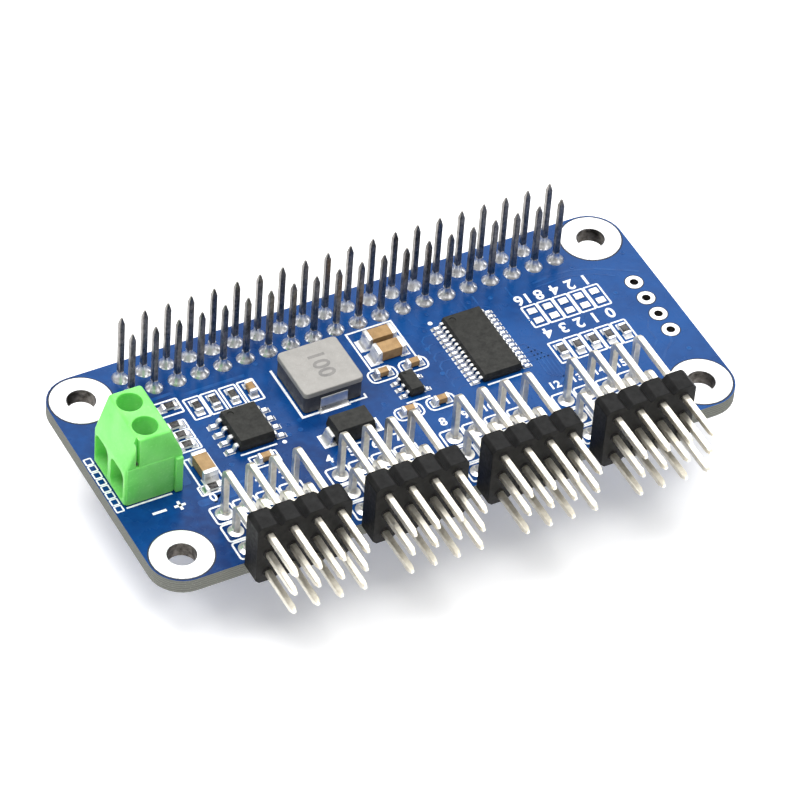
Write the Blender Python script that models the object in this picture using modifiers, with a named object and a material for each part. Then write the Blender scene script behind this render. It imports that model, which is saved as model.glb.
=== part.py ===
"""Servo driver board: a 65 x 30 mm circuit board that plugs onto a 40-pin computer header.

It carries four right-angle 3 x 4 servo pin headers, a two-pole rising-clamp screw terminal,
a switching supply and a 16-channel pulse controller.

Units are metres and +Z is up. The origin is the centre of the circuit board's underside,
+X runs along the long edge and +Y points to the 40-pin header. The two terminal screws turn
about vertical axes, and each lifts the wire clamp under it.
"""

import math

import bmesh
import bpy
from mathutils import Matrix, Vector

MM = 0.001
PITCH = 2.54 * MM

# Circuit board
BOARD_LENGTH = 65.0 * MM
BOARD_WIDTH = 30.0 * MM
BOARD_TOP = 1.6 * MM
CORNER_RADIUS = 3.5 * MM
MOUNTING_X = 29.0 * MM
MOUNTING_Y = 11.5 * MM
MOUNTING_RADIUS = 1.5 * MM
MOUNTING_PAD_RADIUS = 3.2 * MM
MOUNTING_PAD_RISE = 0.05 * MM
MOUNTING_SEGMENTS = 28
PIN_HOLE_RADIUS = 0.53 * MM
SPARE_HOLE_RADIUS = 0.5 * MM
SPARE_HOLES = (29.95 * MM, 0.15 * MM)  # centre of the row of four
SPARE_HOLE_COUNT = 4

# Square header pins
PIN_SIDE = 0.64 * MM
PIN_TIP = 0.45 * MM
PIN_TIP_SHARE = 0.5

# 40-pin stacking socket
SOCKET_COLUMNS = 20
SOCKET_Y = 11.5 * MM
SOCKET_SIZE = (51.0 * MM, 5.0 * MM, 8.5 * MM)
SOCKET_CORNER = 0.3 * MM
SOCKET_TOP = -0.06 * MM
SOCKET_PIN_TOP = 10.0 * MM
SOCKET_PIN_ROOT = 1.5 * MM  # how far a pin reaches into the plastic
SOCKET_CONTACT = (0.9 * MM, 6.0 * MM)  # side and depth of a contact opening

# Right-angle servo headers
SERVO_BLOCKS = 4
SERVO_COLUMNS = 4
SERVO_ROWS = 3
SERVO_FIRST_X = -9 * PITCH
SERVO_BLOCK_STEP = 5 * PITCH
SERVO_REAR_HOLE_Y = -8.26 * MM
SERVO_TOP_PIN_Z = BOARD_TOP + 6.0 * MM
SERVO_TIP_Y = -23.5 * MM
SERVO_HOUSING_Y = (-17.7 * MM, -15.2 * MM)
SERVO_LEG_END = -1.2 * MM
SERVO_CHAMFER = 0.4 * MM  # at the block's own corners
SERVO_NOTCH = 0.48 * MM  # depth of the V between two cells
PIN_BEND_RADIUS = 0.5 * MM

# Two-pole screw terminal: its outline in X and in height above the board
TERMINAL_OUTLINE = (
    (-31.4, 0.05), (-25.1, 0.05), (-25.1, 5.0), (-26.4, 8.35),
    (-26.7, 8.6), (-29.8, 8.6), (-30.1, 8.3), (-31.4, 4.6),
)
TERMINAL_BOTTOM = BOARD_TOP + TERMINAL_OUTLINE[0][1] * MM
TERMINAL_HALF_WIDTH = 3.5 * MM
POLE_X = -28.5 * MM
POLE_OFFSET = 1.75 * MM
POLE_NAMES = {1: -POLE_OFFSET, 2: POLE_OFFSET}
WELL_RADIUS = 1.25 * MM
WELL_FLOOR = BOARD_TOP + 5.35 * MM
NECK_RADIUS = 1.02 * MM
CHAMBER_HALF_WIDTH = 1.45 * MM
CHAMBER_FLOOR = BOARD_TOP + 0.45 * MM
CHAMBER_ROOF = BOARD_TOP + 5.12 * MM
WINDOW_ROOF = BOARD_TOP + 4.3 * MM
CHAMBER_END_X = -26.0 * MM
SHAFT_CLEARANCE = 0.1 * MM  # round the clamp, along X
CONTACT_CLEARANCE = 0.06 * MM
TERMINAL_HEADROOM = 9.0 * MM  # above the board, clear of the whole block

# Rib and grooves by which terminals are joined side by side: X, depth in Y and top above the board
JOINING_RIB = ((-26.0 * MM, -25.2 * MM), 0.35 * MM, 4.7 * MM)
JOINING_GROOVE = ((-25.9 * MM, -25.0 * MM), 0.35 * MM, 4.8 * MM)
SIDE_GROOVE = ((-30.2 * MM, -29.8 * MM), 0.25 * MM, (4.95 * MM, 8.4 * MM))

# Wire clamp, which rises on the screw, and the fixed contact bar through it
CLAMP_SIZE = (3.0 * MM, 2.7 * MM, 3.15 * MM)
CLAMP_BOTTOM = BOARD_TOP + 0.55 * MM
CLAMP_FLOOR = 0.4 * MM
CLAMP_ROOF = 0.85 * MM
CLAMP_WALL = 0.35 * MM
CLAMP_THREAD_RADIUS = 1.0 * MM
BAR_Z = (BOARD_TOP + 2.35 * MM, BOARD_TOP + 2.75 * MM)
BAR_X = (-30.05 * MM, -26.1 * MM)
BAR_HALF_WIDTH = 0.9 * MM
TERMINAL_PIN = (0.65 * MM, 0.9 * MM)
TERMINAL_PIN_END = -2.0 * MM
TERMINAL_PIN_HOLE = 0.68 * MM
SCREW_HEAD = (1.15 * MM, 0.8 * MM)
SCREW_SHANK_RADIUS = 0.93 * MM
SCREW_HEAD_BOTTOM = BOARD_TOP + 5.4 * MM
SCREW_END = BOARD_TOP + 2.81 * MM
SCREW_SLOT = (0.4 * MM, 0.4 * MM)
SCREW_CHAMFER = 0.15 * MM

# Soldered parts stand this far off the board
STANDOFF = 0.06 * MM
SOLDER_LEVEL = BOARD_TOP + STANDOFF

# Gull-wing chips: centre, body (width, length, height), span over the leads, lead pitch,
# lead (width, thickness), and the left and right lead rows counted in pitches from the middle
FOURTEEN_ROWS = tuple(row - 6.5 for row in range(14))
FOUR_ROWS = (-1.5, -0.5, 0.5, 1.5)
CHIPS = {
    "pwm_controller_chip": (
        (11.0 * MM, 1.87 * MM), (4.4 * MM, 9.3 * MM, 1.0 * MM), 6.4 * MM, 0.65 * MM,
        (0.24 * MM, 0.13 * MM), FOURTEEN_ROWS, FOURTEEN_ROWS,
    ),
    "power_regulator_chip": (
        (-15.9 * MM, 0.85 * MM), (3.9 * MM, 4.8 * MM, 1.45 * MM), 6.2 * MM, 1.27 * MM,
        (0.42 * MM, 0.2 * MM), FOUR_ROWS, FOUR_ROWS,
    ),
    "logic_regulator_chip": (
        (1.9 * MM, -0.2 * MM), (1.6 * MM, 2.9 * MM, 1.05 * MM), 2.9 * MM, 0.95 * MM,
        (0.4 * MM, 0.14 * MM), (-1, 0, 1), (-1, 1),
    ),
}
CHIP_GAP = 0.05 * MM  # under a chip's body
CHIP_DRAFT = 0.12 * MM
LEAD_ROOT = 0.3 * MM  # how far a lead reaches into the body
LEAD_KNEE_SHARE = 0.22  # of the lead's length, from the body to its first bend
LEAD_FOOT_SHARE = 0.26  # and from its second bend to its end

# Rectifier diode and its two bent tabs
DIODE_CENTRE = (-6.6 * MM, -3.5 * MM)
DIODE_BODY = (4.3 * MM, 2.6 * MM, 2.0 * MM)
DIODE_GAP = 0.1 * MM
DIODE_DRAFT = 0.15 * MM
DIODE_TAB = (1.45 * MM, 0.22 * MM)  # width and thickness
DIODE_TAB_HEIGHT = 1.0 * MM
DIODE_TAB_REACH = (0.5 * MM, 0.3 * MM, 0.9 * MM)  # into the body, out of it and back under it

# Power inductor and its two soldered clips
INDUCTOR_CENTRE = (-6.4 * MM, 3.85 * MM)
INDUCTOR_SIZE = (6.6 * MM, 6.5 * MM, 2.65 * MM)
INDUCTOR_GAP = 0.08 * MM
INDUCTOR_CORNER = 0.35 * MM
INDUCTOR_CLIP = (3.0 * MM, 0.9 * MM, 1.5 * MM)  # width, reach under the block and height
INDUCTOR_CLIP_PROUD = 0.08 * MM

# Rectangular two-ended parts: length, width, height and end-cap length
SMALL_RESISTOR = (1.6 * MM, 0.8 * MM, 0.45 * MM, 0.32 * MM)
SMALL_CAPACITOR = (1.6 * MM, 0.8 * MM, 0.75 * MM, 0.35 * MM)
LARGE_CAPACITOR = (3.2 * MM, 1.6 * MM, 1.3 * MM, 0.5 * MM)
CAP_OVERHANG = 0.02 * MM

ADDRESS_FIRST_X = 18.25 * MM
ADDRESS_STEP = 1.81 * MM
ADDRESS_RESISTOR_Y = -1.95 * MM
ADDRESS_COUNT = 5

# name, kind, X and Y in millimetres, axis of its length
SMALL_PARTS = (
    ("input_capacitor", "large_capacitor", -22.1, -2.2, "Y"),
    ("output_capacitor_1", "large_capacitor", 2.0, 7.0, "X"),
    ("output_capacitor_2", "large_capacitor", 2.0, 4.9, "X"),
    ("feedback_resistor_1", "small_resistor", -18.95, 5.9, "Y"),
    ("feedback_resistor_2", "small_resistor", -17.05, 5.9, "Y"),
    ("feedback_resistor_3", "small_resistor", -15.0, 5.9, "Y"),
    ("bootstrap_capacitor", "small_capacitor", -13.0, 5.9, "Y"),
    ("enable_resistor_1", "small_resistor", -22.2, 4.35, "X"),
    ("enable_resistor_2", "small_resistor", -22.2, 2.9, "X"),
    ("enable_resistor_3", "small_resistor", -22.2, 1.45, "X"),
    ("frequency_resistor", "small_resistor", -21.5, 7.0, "X"),
    ("pull_up_resistor", "small_resistor", -22.4, -4.75, "X"),
    ("compensation_capacitor", "small_capacitor", -15.9, -3.3, "X"),
    ("logic_capacitor_1", "small_capacitor", 0.1, 2.5, "X"),
    ("logic_capacitor_2", "small_capacitor", 3.6, 2.5, "X"),
    ("logic_capacitor_3", "small_capacitor", 0.1, -3.3, "X"),
    ("logic_capacitor_4", "small_capacitor", 3.7, -3.3, "X"),
)

COLOURS = {  # base colour, roughness, metallic
    "solder_mask": ((0.02, 0.09, 0.38), 0.35, 0.0),
    "header_plastic": ((0.015, 0.015, 0.015), 0.5, 0.0),
    "terminal_plastic": ((0.13, 0.62, 0.12), 0.4, 0.0),
    "plated_steel": ((0.72, 0.72, 0.7), 0.3, 1.0),
    "brass": ((0.75, 0.62, 0.35), 0.35, 1.0),
    "chip_resin": ((0.03, 0.03, 0.028), 0.6, 0.0),
    "ferrite": ((0.5, 0.49, 0.46), 0.6, 0.0),
    "capacitor_ceramic": ((0.5, 0.32, 0.15), 0.5, 0.0),
    "resistor_ceramic": ((0.03, 0.03, 0.03), 0.4, 0.0),
}


def new_collection(name):
    collection = bpy.data.collections.new(name)
    bpy.context.scene.collection.children.link(collection)
    return collection


def material(name):
    """The named material, made on first use."""
    found = bpy.data.materials.get(name)
    if found:
        return found
    colour, roughness, metallic = COLOURS[name]
    made = bpy.data.materials.new(name)
    made.use_nodes = True
    shader = made.node_tree.nodes["Principled BSDF"]
    shader.inputs["Base Color"].default_value = (*colour, 1)
    shader.inputs["Roughness"].default_value = roughness
    shader.inputs["Metallic"].default_value = metallic
    return made


def object_from(bm, name, material_name=None, location=(0, 0, 0)):
    """A part made of bm, or a hidden cutter where no material is named."""
    mesh = bpy.data.meshes.new(name)
    bm.to_mesh(mesh)
    bm.free()
    obj = bpy.data.objects.new(name, mesh)
    obj.location = location
    if material_name:
        mesh.materials.append(material(material_name))
        PARTS.objects.link(obj)
    else:
        obj.hide_render = True
        obj.display_type = "WIRE"
        CUTTERS.objects.link(obj)
    return obj


def boolean(obj, operation, operand):
    modifier = obj.modifiers.new(operand.name, "BOOLEAN")
    modifier.operation = operation
    modifier.object = operand
    modifier.solver = "EXACT"


def add_box(bm, low, high):
    """Adds the box between two corners and returns its vertices."""
    low, high = Vector(low), Vector(high)
    placed = Matrix.Translation((low + high) / 2) @ Matrix.Diagonal((*(high - low), 1))
    return bmesh.ops.create_cube(bm, size=1, matrix=placed)["verts"]


def add_cylinder(bm, centre, radius, low, high, segments):
    """Adds an upright cylinder between two heights."""
    bmesh.ops.create_cone(
        bm, cap_ends=True, segments=segments, radius1=radius, radius2=radius,
        depth=high - low, matrix=Matrix.Translation((*centre, (low + high) / 2)),
    )


def centred_box(bm, centre, size):
    """Adds a box that stands on centre, a point of its bottom face."""
    x, y, z = centre
    length, width, height = size
    return add_box(
        bm, (x - length / 2, y - width / 2, z), (x + length / 2, y + width / 2, z + height)
    )


def circle(centre, radius, segments):
    """Points of a circle, the first one at 45 degrees."""
    turns = [math.tau * (i / segments + 1 / 8) for i in range(segments)]
    return [(centre[0] + radius * math.cos(a), centre[1] + radius * math.sin(a)) for a in turns]


def arc(centre, radius, start, end, steps):
    """Points of an arc between two angles in degrees, both ends included."""
    angles = [math.radians(start + (end - start) * i / steps) for i in range(steps + 1)]
    return [(centre[0] + radius * math.cos(a), centre[1] + radius * math.sin(a)) for a in angles]


def ribbon(line, thickness):
    """Closed outline of a strip of even thickness that follows a line of points."""
    line = [Vector(point) for point in line]
    sides = ([], [])
    for i, point in enumerate(line):
        before = (point - line[i - 1]).normalized() if i else None
        after = (line[i + 1] - point).normalized() if i + 1 < len(line) else None
        before, after = before or after, after or before
        along = (before + after).normalized()
        across = Vector((-along.y, along.x)) * thickness / 2 / along.dot(before)
        sides[0].append(tuple(point + across))
        sides[1].append(tuple(point - across))
    return sides[0] + sides[1][::-1]


XY_PLANE = Matrix.Identity(4)
XZ_PLANE = Matrix.Rotation(math.radians(90), 4, "X")
YZ_PLANE = Matrix(((0, 0, 1, 0), (1, 0, 0, 0), (0, 1, 0, 0), (0, 0, 0, 1)))


def extruded(outlines, thickness, plane):
    """Mesh of flat outlines, the later ones holes in the first, centred on the plane."""
    curve = bpy.data.curves.new("outline", "CURVE")
    curve.dimensions = "2D"
    curve.fill_mode = "BOTH"
    curve.extrude = thickness / 2
    for outline in outlines:
        spline = curve.splines.new("POLY")
        spline.points.add(len(outline) - 1)
        for point, (u, v) in zip(spline.points, outline):
            point.co = (u, v, 0, 1)
        spline.use_cyclic_u = True
    guide = bpy.data.objects.new("outline", curve)
    bpy.context.scene.collection.objects.link(guide)
    graph = bpy.context.evaluated_depsgraph_get()
    mesh = bpy.data.meshes.new_from_object(guide.evaluated_get(graph))
    bpy.data.objects.remove(guide, do_unlink=True)
    bm = bmesh.new()
    bm.from_mesh(mesh)
    bmesh.ops.remove_doubles(bm, verts=bm.verts, dist=1e-7)
    bmesh.ops.transform(bm, matrix=plane, verts=bm.verts)
    bmesh.ops.recalc_face_normals(bm, faces=bm.faces)
    return bm


def copies(bm, placements):
    """Separate copies of bm's shape, one at each placement, in one new bmesh."""
    mesh = bpy.data.meshes.new("copied")
    bm.to_mesh(mesh)
    bm.free()
    made = bmesh.new()
    for placement in placements:
        start = len(made.verts)
        made.from_mesh(mesh)
        made.verts.ensure_lookup_table()
        bmesh.ops.transform(made, matrix=placement, verts=made.verts[start:])
    return made


def header_pin_holes():
    """Centres of the board's 88 header pin holes."""
    holes = []
    for column in range(SOCKET_COLUMNS):
        x = (column - (SOCKET_COLUMNS - 1) / 2) * PITCH
        holes += [(x, SOCKET_Y - PITCH / 2), (x, SOCKET_Y + PITCH / 2)]
    for block in range(SERVO_BLOCKS):
        for column in range(SERVO_COLUMNS):
            x = SERVO_FIRST_X + block * SERVO_BLOCK_STEP + column * PITCH
            holes += [(x, SERVO_REAR_HOLE_Y - row * PITCH) for row in range(SERVO_ROWS)]
    return holes


def add_mounting_ring(bm, centre):
    """Adds the plated surface of a mounting hole, from the pad's rim above to its rim below."""
    high, low = BOARD_TOP + MOUNTING_PAD_RISE, -MOUNTING_PAD_RISE
    profile = (
        (MOUNTING_PAD_RADIUS, BOARD_TOP), (MOUNTING_PAD_RADIUS, high), (MOUNTING_RADIUS, high),
        (MOUNTING_RADIUS, low), (MOUNTING_PAD_RADIUS, low), (MOUNTING_PAD_RADIUS, 0),
    )
    rings = [
        [bm.verts.new((*point, z)) for point in circle(centre, radius, MOUNTING_SEGMENTS)]
        for radius, z in profile
    ]
    for upper, lower in zip(rings, rings[1:]):
        for i in range(MOUNTING_SEGMENTS):
            bm.faces.new((upper[i - 1], lower[i - 1], lower[i], upper[i]))


def make_circuit_board():
    """The board with its rounded corners, plated mounting pads and every drilled hole."""
    corners = []
    for turn, (sx, sy) in enumerate(((1, 1), (-1, 1), (-1, -1), (1, -1))):
        centre = (
            sx * (BOARD_LENGTH / 2 - CORNER_RADIUS), sy * (BOARD_WIDTH / 2 - CORNER_RADIUS)
        )
        corners += arc(centre, CORNER_RADIUS, 90 * turn, 90 * turn + 90, 8)
    mounting_centres = [(sx * MOUNTING_X, sy * MOUNTING_Y) for sx in (-1, 1) for sy in (-1, 1)]
    outlines = [corners]
    for centre in mounting_centres:
        outlines.append(circle(centre, MOUNTING_PAD_RADIUS, MOUNTING_SEGMENTS))
    for i in range(SPARE_HOLE_COUNT):
        y = SPARE_HOLES[1] + (i - (SPARE_HOLE_COUNT - 1) / 2) * PITCH
        outlines.append(circle((SPARE_HOLES[0], y), SPARE_HOLE_RADIUS, 12))
    outlines += [circle(centre, PIN_HOLE_RADIUS, 8) for centre in header_pin_holes()]
    pin_x = BAR_X[1] - TERMINAL_PIN[0] / 2
    outlines += [circle((pin_x, y), TERMINAL_PIN_HOLE, 12) for y in POLE_NAMES.values()]
    bm = extruded(outlines, BOARD_TOP, XY_PLANE)
    bmesh.ops.translate(bm, vec=(0, 0, BOARD_TOP / 2), verts=bm.verts)
    for centre in mounting_centres:
        wall = [
            face for face in bm.faces
            if abs(face.normal.z) < 0.5
            and (face.calc_center_median().xy - Vector(centre)).length < MOUNTING_PAD_RADIUS
        ]
        bmesh.ops.delete(bm, geom=wall, context="FACES_ONLY")
        add_mounting_ring(bm, centre)
    bmesh.ops.remove_doubles(bm, verts=bm.verts, dist=1e-7)
    bmesh.ops.recalc_face_normals(bm, faces=bm.faces)
    object_from(bm, "circuit_board", "solder_mask")


def straight_pin(low, high):
    """A square pin between two heights on the Z axis, with a tapered top."""
    bm = bmesh.new()
    add_box(bm, (-PIN_SIDE / 2, -PIN_SIDE / 2, low), (PIN_SIDE / 2, PIN_SIDE / 2, high - PIN_TIP))
    bm.faces.ensure_lookup_table()
    top = max(bm.faces, key=lambda face: face.calc_center_median().z)
    tip = bmesh.ops.extrude_discrete_faces(bm, faces=[top])["faces"][0]
    shrink = Matrix.Diagonal((PIN_TIP_SHARE, PIN_TIP_SHARE, 1, 1))
    bmesh.ops.transform(bm, matrix=Matrix.Translation((0, 0, PIN_TIP)) @ shrink, verts=tip.verts)
    return bm


def make_socket_header():
    """The stacking header: a 2 x 20 socket under the board, whose pins rise through it."""
    length, width, height = SOCKET_SIZE
    bottom = SOCKET_TOP - height
    side, depth = SOCKET_CONTACT
    bm = bmesh.new()
    centred_box(bm, (0, SOCKET_Y, bottom), SOCKET_SIZE)
    upright = [e for e in bm.edges if abs(e.verts[0].co.z - e.verts[1].co.z) > height / 2]
    bmesh.ops.bevel(bm, geom=upright, offset=SOCKET_CORNER, segments=1, affect="EDGES")
    header = object_from(bm, "stacking_header", "header_plastic")
    places = []
    for column in range(SOCKET_COLUMNS):
        x = (column - (SOCKET_COLUMNS - 1) / 2) * PITCH
        places += [(x, SOCKET_Y - PITCH / 2), (x, SOCKET_Y + PITCH / 2)]
    pins = copies(
        straight_pin(SOCKET_TOP - SOCKET_PIN_ROOT, SOCKET_PIN_TOP),
        [Matrix.Translation((x, y, 0)) for x, y in places],
    )
    openings = bmesh.new()
    for x, y in places:
        centred_box(openings, (x, y, bottom - side), (side, side, depth + side))
    boolean(header, "UNION", object_from(pins, "stacking_pins"))
    boolean(header, "DIFFERENCE", object_from(openings, "stacking_contact_openings"))


def housing_outline(left, bottom):
    """Front outline of a servo header's plastic: octagonal cells joined side by side."""
    right = left + SERVO_COLUMNS * PITCH
    top = bottom + SERVO_ROWS * PITCH
    corner, notch = SERVO_CHAMFER, SERVO_NOTCH
    points = [(left, bottom + corner), (left + corner, bottom)]
    for i in range(1, SERVO_COLUMNS):
        x = left + i * PITCH
        points += [(x - notch, bottom), (x, bottom + notch), (x + notch, bottom)]
    points += [(right - corner, bottom), (right, bottom + corner)]
    points += [(right, top - corner), (right - corner, top)]
    for i in range(1, SERVO_COLUMNS):
        x = right - i * PITCH
        points += [(x + notch, top), (x, top - notch), (x - notch, top)]
    return points + [(left + corner, top), (left, top - corner)]


def bent_pin(row):
    """A right-angle servo pin of one row, in the plane X = 0."""
    y = SERVO_REAR_HOLE_Y - row * PITCH
    z = SERVO_TOP_PIN_Z - row * PITCH
    bend = arc((y - PIN_BEND_RADIUS, z - PIN_BEND_RADIUS), PIN_BEND_RADIUS, 90, 0, 4)
    line = [(SERVO_TIP_Y, z), *bend, (y, SERVO_LEG_END)]
    bm = extruded([ribbon(line, PIN_SIDE)], PIN_SIDE, YZ_PLANE)
    everything = bm.verts[:] + bm.edges[:] + bm.faces[:]
    taper_start = (0, SERVO_TIP_Y + PIN_TIP, 0)
    bmesh.ops.bisect_plane(bm, geom=everything, plane_co=taper_start, plane_no=(0, 1, 0), dist=1e-7)
    for vert in bm.verts:
        if vert.co.y < SERVO_TIP_Y + PIN_TIP / 2:
            vert.co.x *= PIN_TIP_SHARE
            vert.co.z = z + (vert.co.z - z) * PIN_TIP_SHARE
    return bm


def make_servo_header(number):
    """One block of twelve servo pins: four channels, each with three rows."""
    first_x = SERVO_FIRST_X + (number - 1) * SERVO_BLOCK_STEP
    bottom = SERVO_TOP_PIN_Z + PITCH / 2 - SERVO_ROWS * PITCH
    front, rear = SERVO_HOUSING_Y
    bm = extruded([housing_outline(first_x - PITCH / 2, bottom)], rear - front, XZ_PLANE)
    bmesh.ops.translate(bm, vec=(0, (front + rear) / 2, 0), verts=bm.verts)
    header = object_from(bm, f"servo_header_{number}", "header_plastic")
    for row in range(SERVO_ROWS):
        columns = [Matrix.Translation((first_x + i * PITCH, 0, 0)) for i in range(SERVO_COLUMNS)]
        pins = object_from(copies(bent_pin(row), columns), f"servo_pins_{number}_row_{row + 1}")
        boolean(header, "UNION", pins)


def make_terminal_housing():
    """The green block, hollow where the clamps rise, with wells for the screws."""
    outline = [(x * MM, BOARD_TOP + z * MM) for x, z in TERMINAL_OUTLINE]
    bm = extruded([outline], 2 * TERMINAL_HALF_WIDTH, XZ_PLANE)
    housing = object_from(bm, "terminal_housing", "terminal_plastic")
    half_width = TERMINAL_HALF_WIDTH
    chambers, shafts, wells, necks, slots = (bmesh.new() for _ in range(5))
    shaft_half = CLAMP_SIZE[0] / 2 + SHAFT_CLEARANCE
    slot_half = Vector(TERMINAL_PIN) / 2 + Vector((CONTACT_CLEARANCE, CONTACT_CLEARANCE))
    pin_x = BAR_X[1] - TERMINAL_PIN[0] / 2
    above, overlap = BOARD_TOP + TERMINAL_HEADROOM, 0.3 * MM
    window_x = TERMINAL_OUTLINE[0][0] * MM - overlap
    for y in POLE_NAMES.values():
        low_y, high_y = y - CHAMBER_HALF_WIDTH, y + CHAMBER_HALF_WIDTH
        add_box(chambers, (window_x, low_y, CHAMBER_FLOOR), (CHAMBER_END_X, high_y, WINDOW_ROOF))
        add_box(
            shafts, (POLE_X - shaft_half, low_y, CHAMBER_FLOOR),
            (POLE_X + shaft_half, high_y, CHAMBER_ROOF),
        )
        add_cylinder(wells, (POLE_X, y), WELL_RADIUS, WELL_FLOOR, above, 32)
        add_cylinder(
            necks, (POLE_X, y), NECK_RADIUS, CHAMBER_ROOF - overlap, WELL_FLOOR + overlap, 24
        )
        add_box(
            slots, (pin_x - slot_half.x, y - slot_half.y, 0),
            (pin_x + slot_half.x, y + slot_half.y, CHAMBER_FLOOR + overlap),
        )
    for name, cutter in (
        ("wire_chambers", chambers), ("clamp_shafts", shafts), ("screw_wells", wells),
        ("screw_necks", necks), ("contact_slots", slots),
    ):
        boolean(housing, "DIFFERENCE", object_from(cutter, name))
    rib, grooves = bmesh.new(), bmesh.new()
    (low_x, high_x), proud, top = JOINING_RIB
    add_box(
        rib, (low_x, -half_width - proud, TERMINAL_BOTTOM),
        (high_x, overlap - half_width, BOARD_TOP + top),
    )
    (low_x, high_x), depth, top = JOINING_GROOVE
    add_box(
        grooves, (low_x, half_width - depth, 0),
        (high_x + overlap, half_width + overlap, BOARD_TOP + top),
    )
    (low_x, high_x), depth, (low, high) = SIDE_GROOVE
    add_box(
        grooves, (low_x, -half_width - overlap, BOARD_TOP + low),
        (high_x, depth - half_width, BOARD_TOP + high),
    )
    boolean(housing, "UNION", object_from(rib, "joining_rib"))
    boolean(housing, "DIFFERENCE", object_from(grooves, "joining_grooves"))


def make_terminal_screw(number, y):
    """A slotted clamp screw, with its origin on its own axis."""
    head_radius, head_height = SCREW_HEAD
    head_top = SCREW_HEAD_BOTTOM + head_height
    chamfer = SCREW_CHAMFER
    profile = (
        (0, head_top), (head_radius - chamfer, head_top), (head_radius, head_top - chamfer),
        (head_radius, SCREW_HEAD_BOTTOM), (SCREW_SHANK_RADIUS, SCREW_HEAD_BOTTOM),
        (SCREW_SHANK_RADIUS, SCREW_END + chamfer), (SCREW_SHANK_RADIUS - chamfer, SCREW_END),
        (0, SCREW_END),
    )
    bm = bmesh.new()
    verts = [bm.verts.new((radius, 0, z)) for radius, z in profile]
    for first, second in zip(verts, verts[1:]):
        bm.edges.new((first, second))
    screw = object_from(bm, f"terminal_screw_{number}", "plated_steel", (POLE_X, y, 0))
    turn = screw.modifiers.new("Turn", "SCREW")
    turn.steps = turn.render_steps = 24
    turn.use_merge_vertices = True
    turn.merge_threshold = 1e-6
    slot_width, slot_depth = SCREW_SLOT
    slot = bmesh.new()
    add_box(
        slot, (-2 * head_radius, -slot_width / 2, head_top - slot_depth),
        (2 * head_radius, slot_width / 2, head_top + slot_depth),
    )
    boolean(screw, "DIFFERENCE", object_from(slot, f"screw_slot_{number}", None, (POLE_X, y, 0)))


def make_wire_clamp(number, y):
    """The rising cage: a box open along X, threaded on top for the screw."""
    length, width, height = CLAMP_SIZE
    bm = bmesh.new()
    centred_box(bm, (0, 0, CLAMP_BOTTOM), CLAMP_SIZE)
    clamp = object_from(bm, f"wire_clamp_{number}", "plated_steel", (POLE_X, y, 0))
    mouth = bmesh.new()
    centred_box(
        mouth, (0, 0, CLAMP_BOTTOM + CLAMP_FLOOR),
        (2 * length, width - 2 * CLAMP_WALL, height - CLAMP_FLOOR - CLAMP_ROOF),
    )
    thread = bmesh.new()
    top = CLAMP_BOTTOM + height
    low, high = top - 1.5 * CLAMP_ROOF, top + CLAMP_ROOF
    add_cylinder(thread, (0, 0), CLAMP_THREAD_RADIUS, low, high, 24)
    for name, cutter in (("clamp_mouth", mouth), ("clamp_thread", thread)):
        boolean(clamp, "DIFFERENCE", object_from(cutter, f"{name}_{number}", None, (POLE_X, y, 0)))


def make_terminal_contact(number, y):
    """The fixed bar that a wire is pressed against, with its solder pin."""
    bar_low, bar_high = BAR_Z
    bm = bmesh.new()
    add_box(bm, (BAR_X[0], y - BAR_HALF_WIDTH, bar_low), (BAR_X[1], y + BAR_HALF_WIDTH, bar_high))
    contact = object_from(bm, f"terminal_contact_{number}", "brass")
    depth, width = TERMINAL_PIN
    pin = bmesh.new()
    add_box(
        pin, (BAR_X[1] - depth, y - width / 2, TERMINAL_PIN_END),
        (BAR_X[1], y + width / 2, (bar_low + bar_high) / 2),
    )
    boolean(contact, "UNION", object_from(pin, f"contact_pin_{number}"))


def tapered_block(centre, size, draft):
    """A moulded body that stands on centre and narrows by draft at its top."""
    bm = bmesh.new()
    verts = centred_box(bm, centre, size)
    middle = centre[2] + size[2] / 2
    for vert in verts:
        if vert.co.z > middle:
            for axis in (0, 1):
                inward = 1 if vert.co[axis] < centre[axis] else -1
                vert.co[axis] += inward * draft
    return bm


def make_leaded_chip(name):
    """A chip with gull-wing leads on its left and right sides."""
    (x, y), body, span, pitch, (lead_width, thickness), *rows_by_side = CHIPS[name]
    width, _, height = body
    chip = object_from(
        tapered_block((x, y, SOLDER_LEVEL + CHIP_GAP), body, CHIP_DRAFT), name, "chip_resin"
    )
    shoulder = SOLDER_LEVEL + height / 2
    foot = SOLDER_LEVEL + thickness / 2
    knee = width / 2 + (span - width) * LEAD_KNEE_SHARE
    ankle = span / 2 - (span - width) * LEAD_FOOT_SHARE
    line = [(width / 2 - LEAD_ROOT, shoulder), (knee, shoulder), (ankle, foot), (span / 2, foot)]
    right = Matrix.Translation((x, y, 0))
    left = right @ Matrix.Rotation(math.pi, 4, "Z")
    placements = []
    for side, rows in zip((left, right), rows_by_side):
        placements += [side @ Matrix.Translation((0, row * pitch, 0)) for row in rows]
    leads = copies(extruded([ribbon(line, thickness)], lead_width, XZ_PLANE), placements)
    boolean(chip, "UNION", object_from(leads, f"{name}_leads"))


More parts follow.
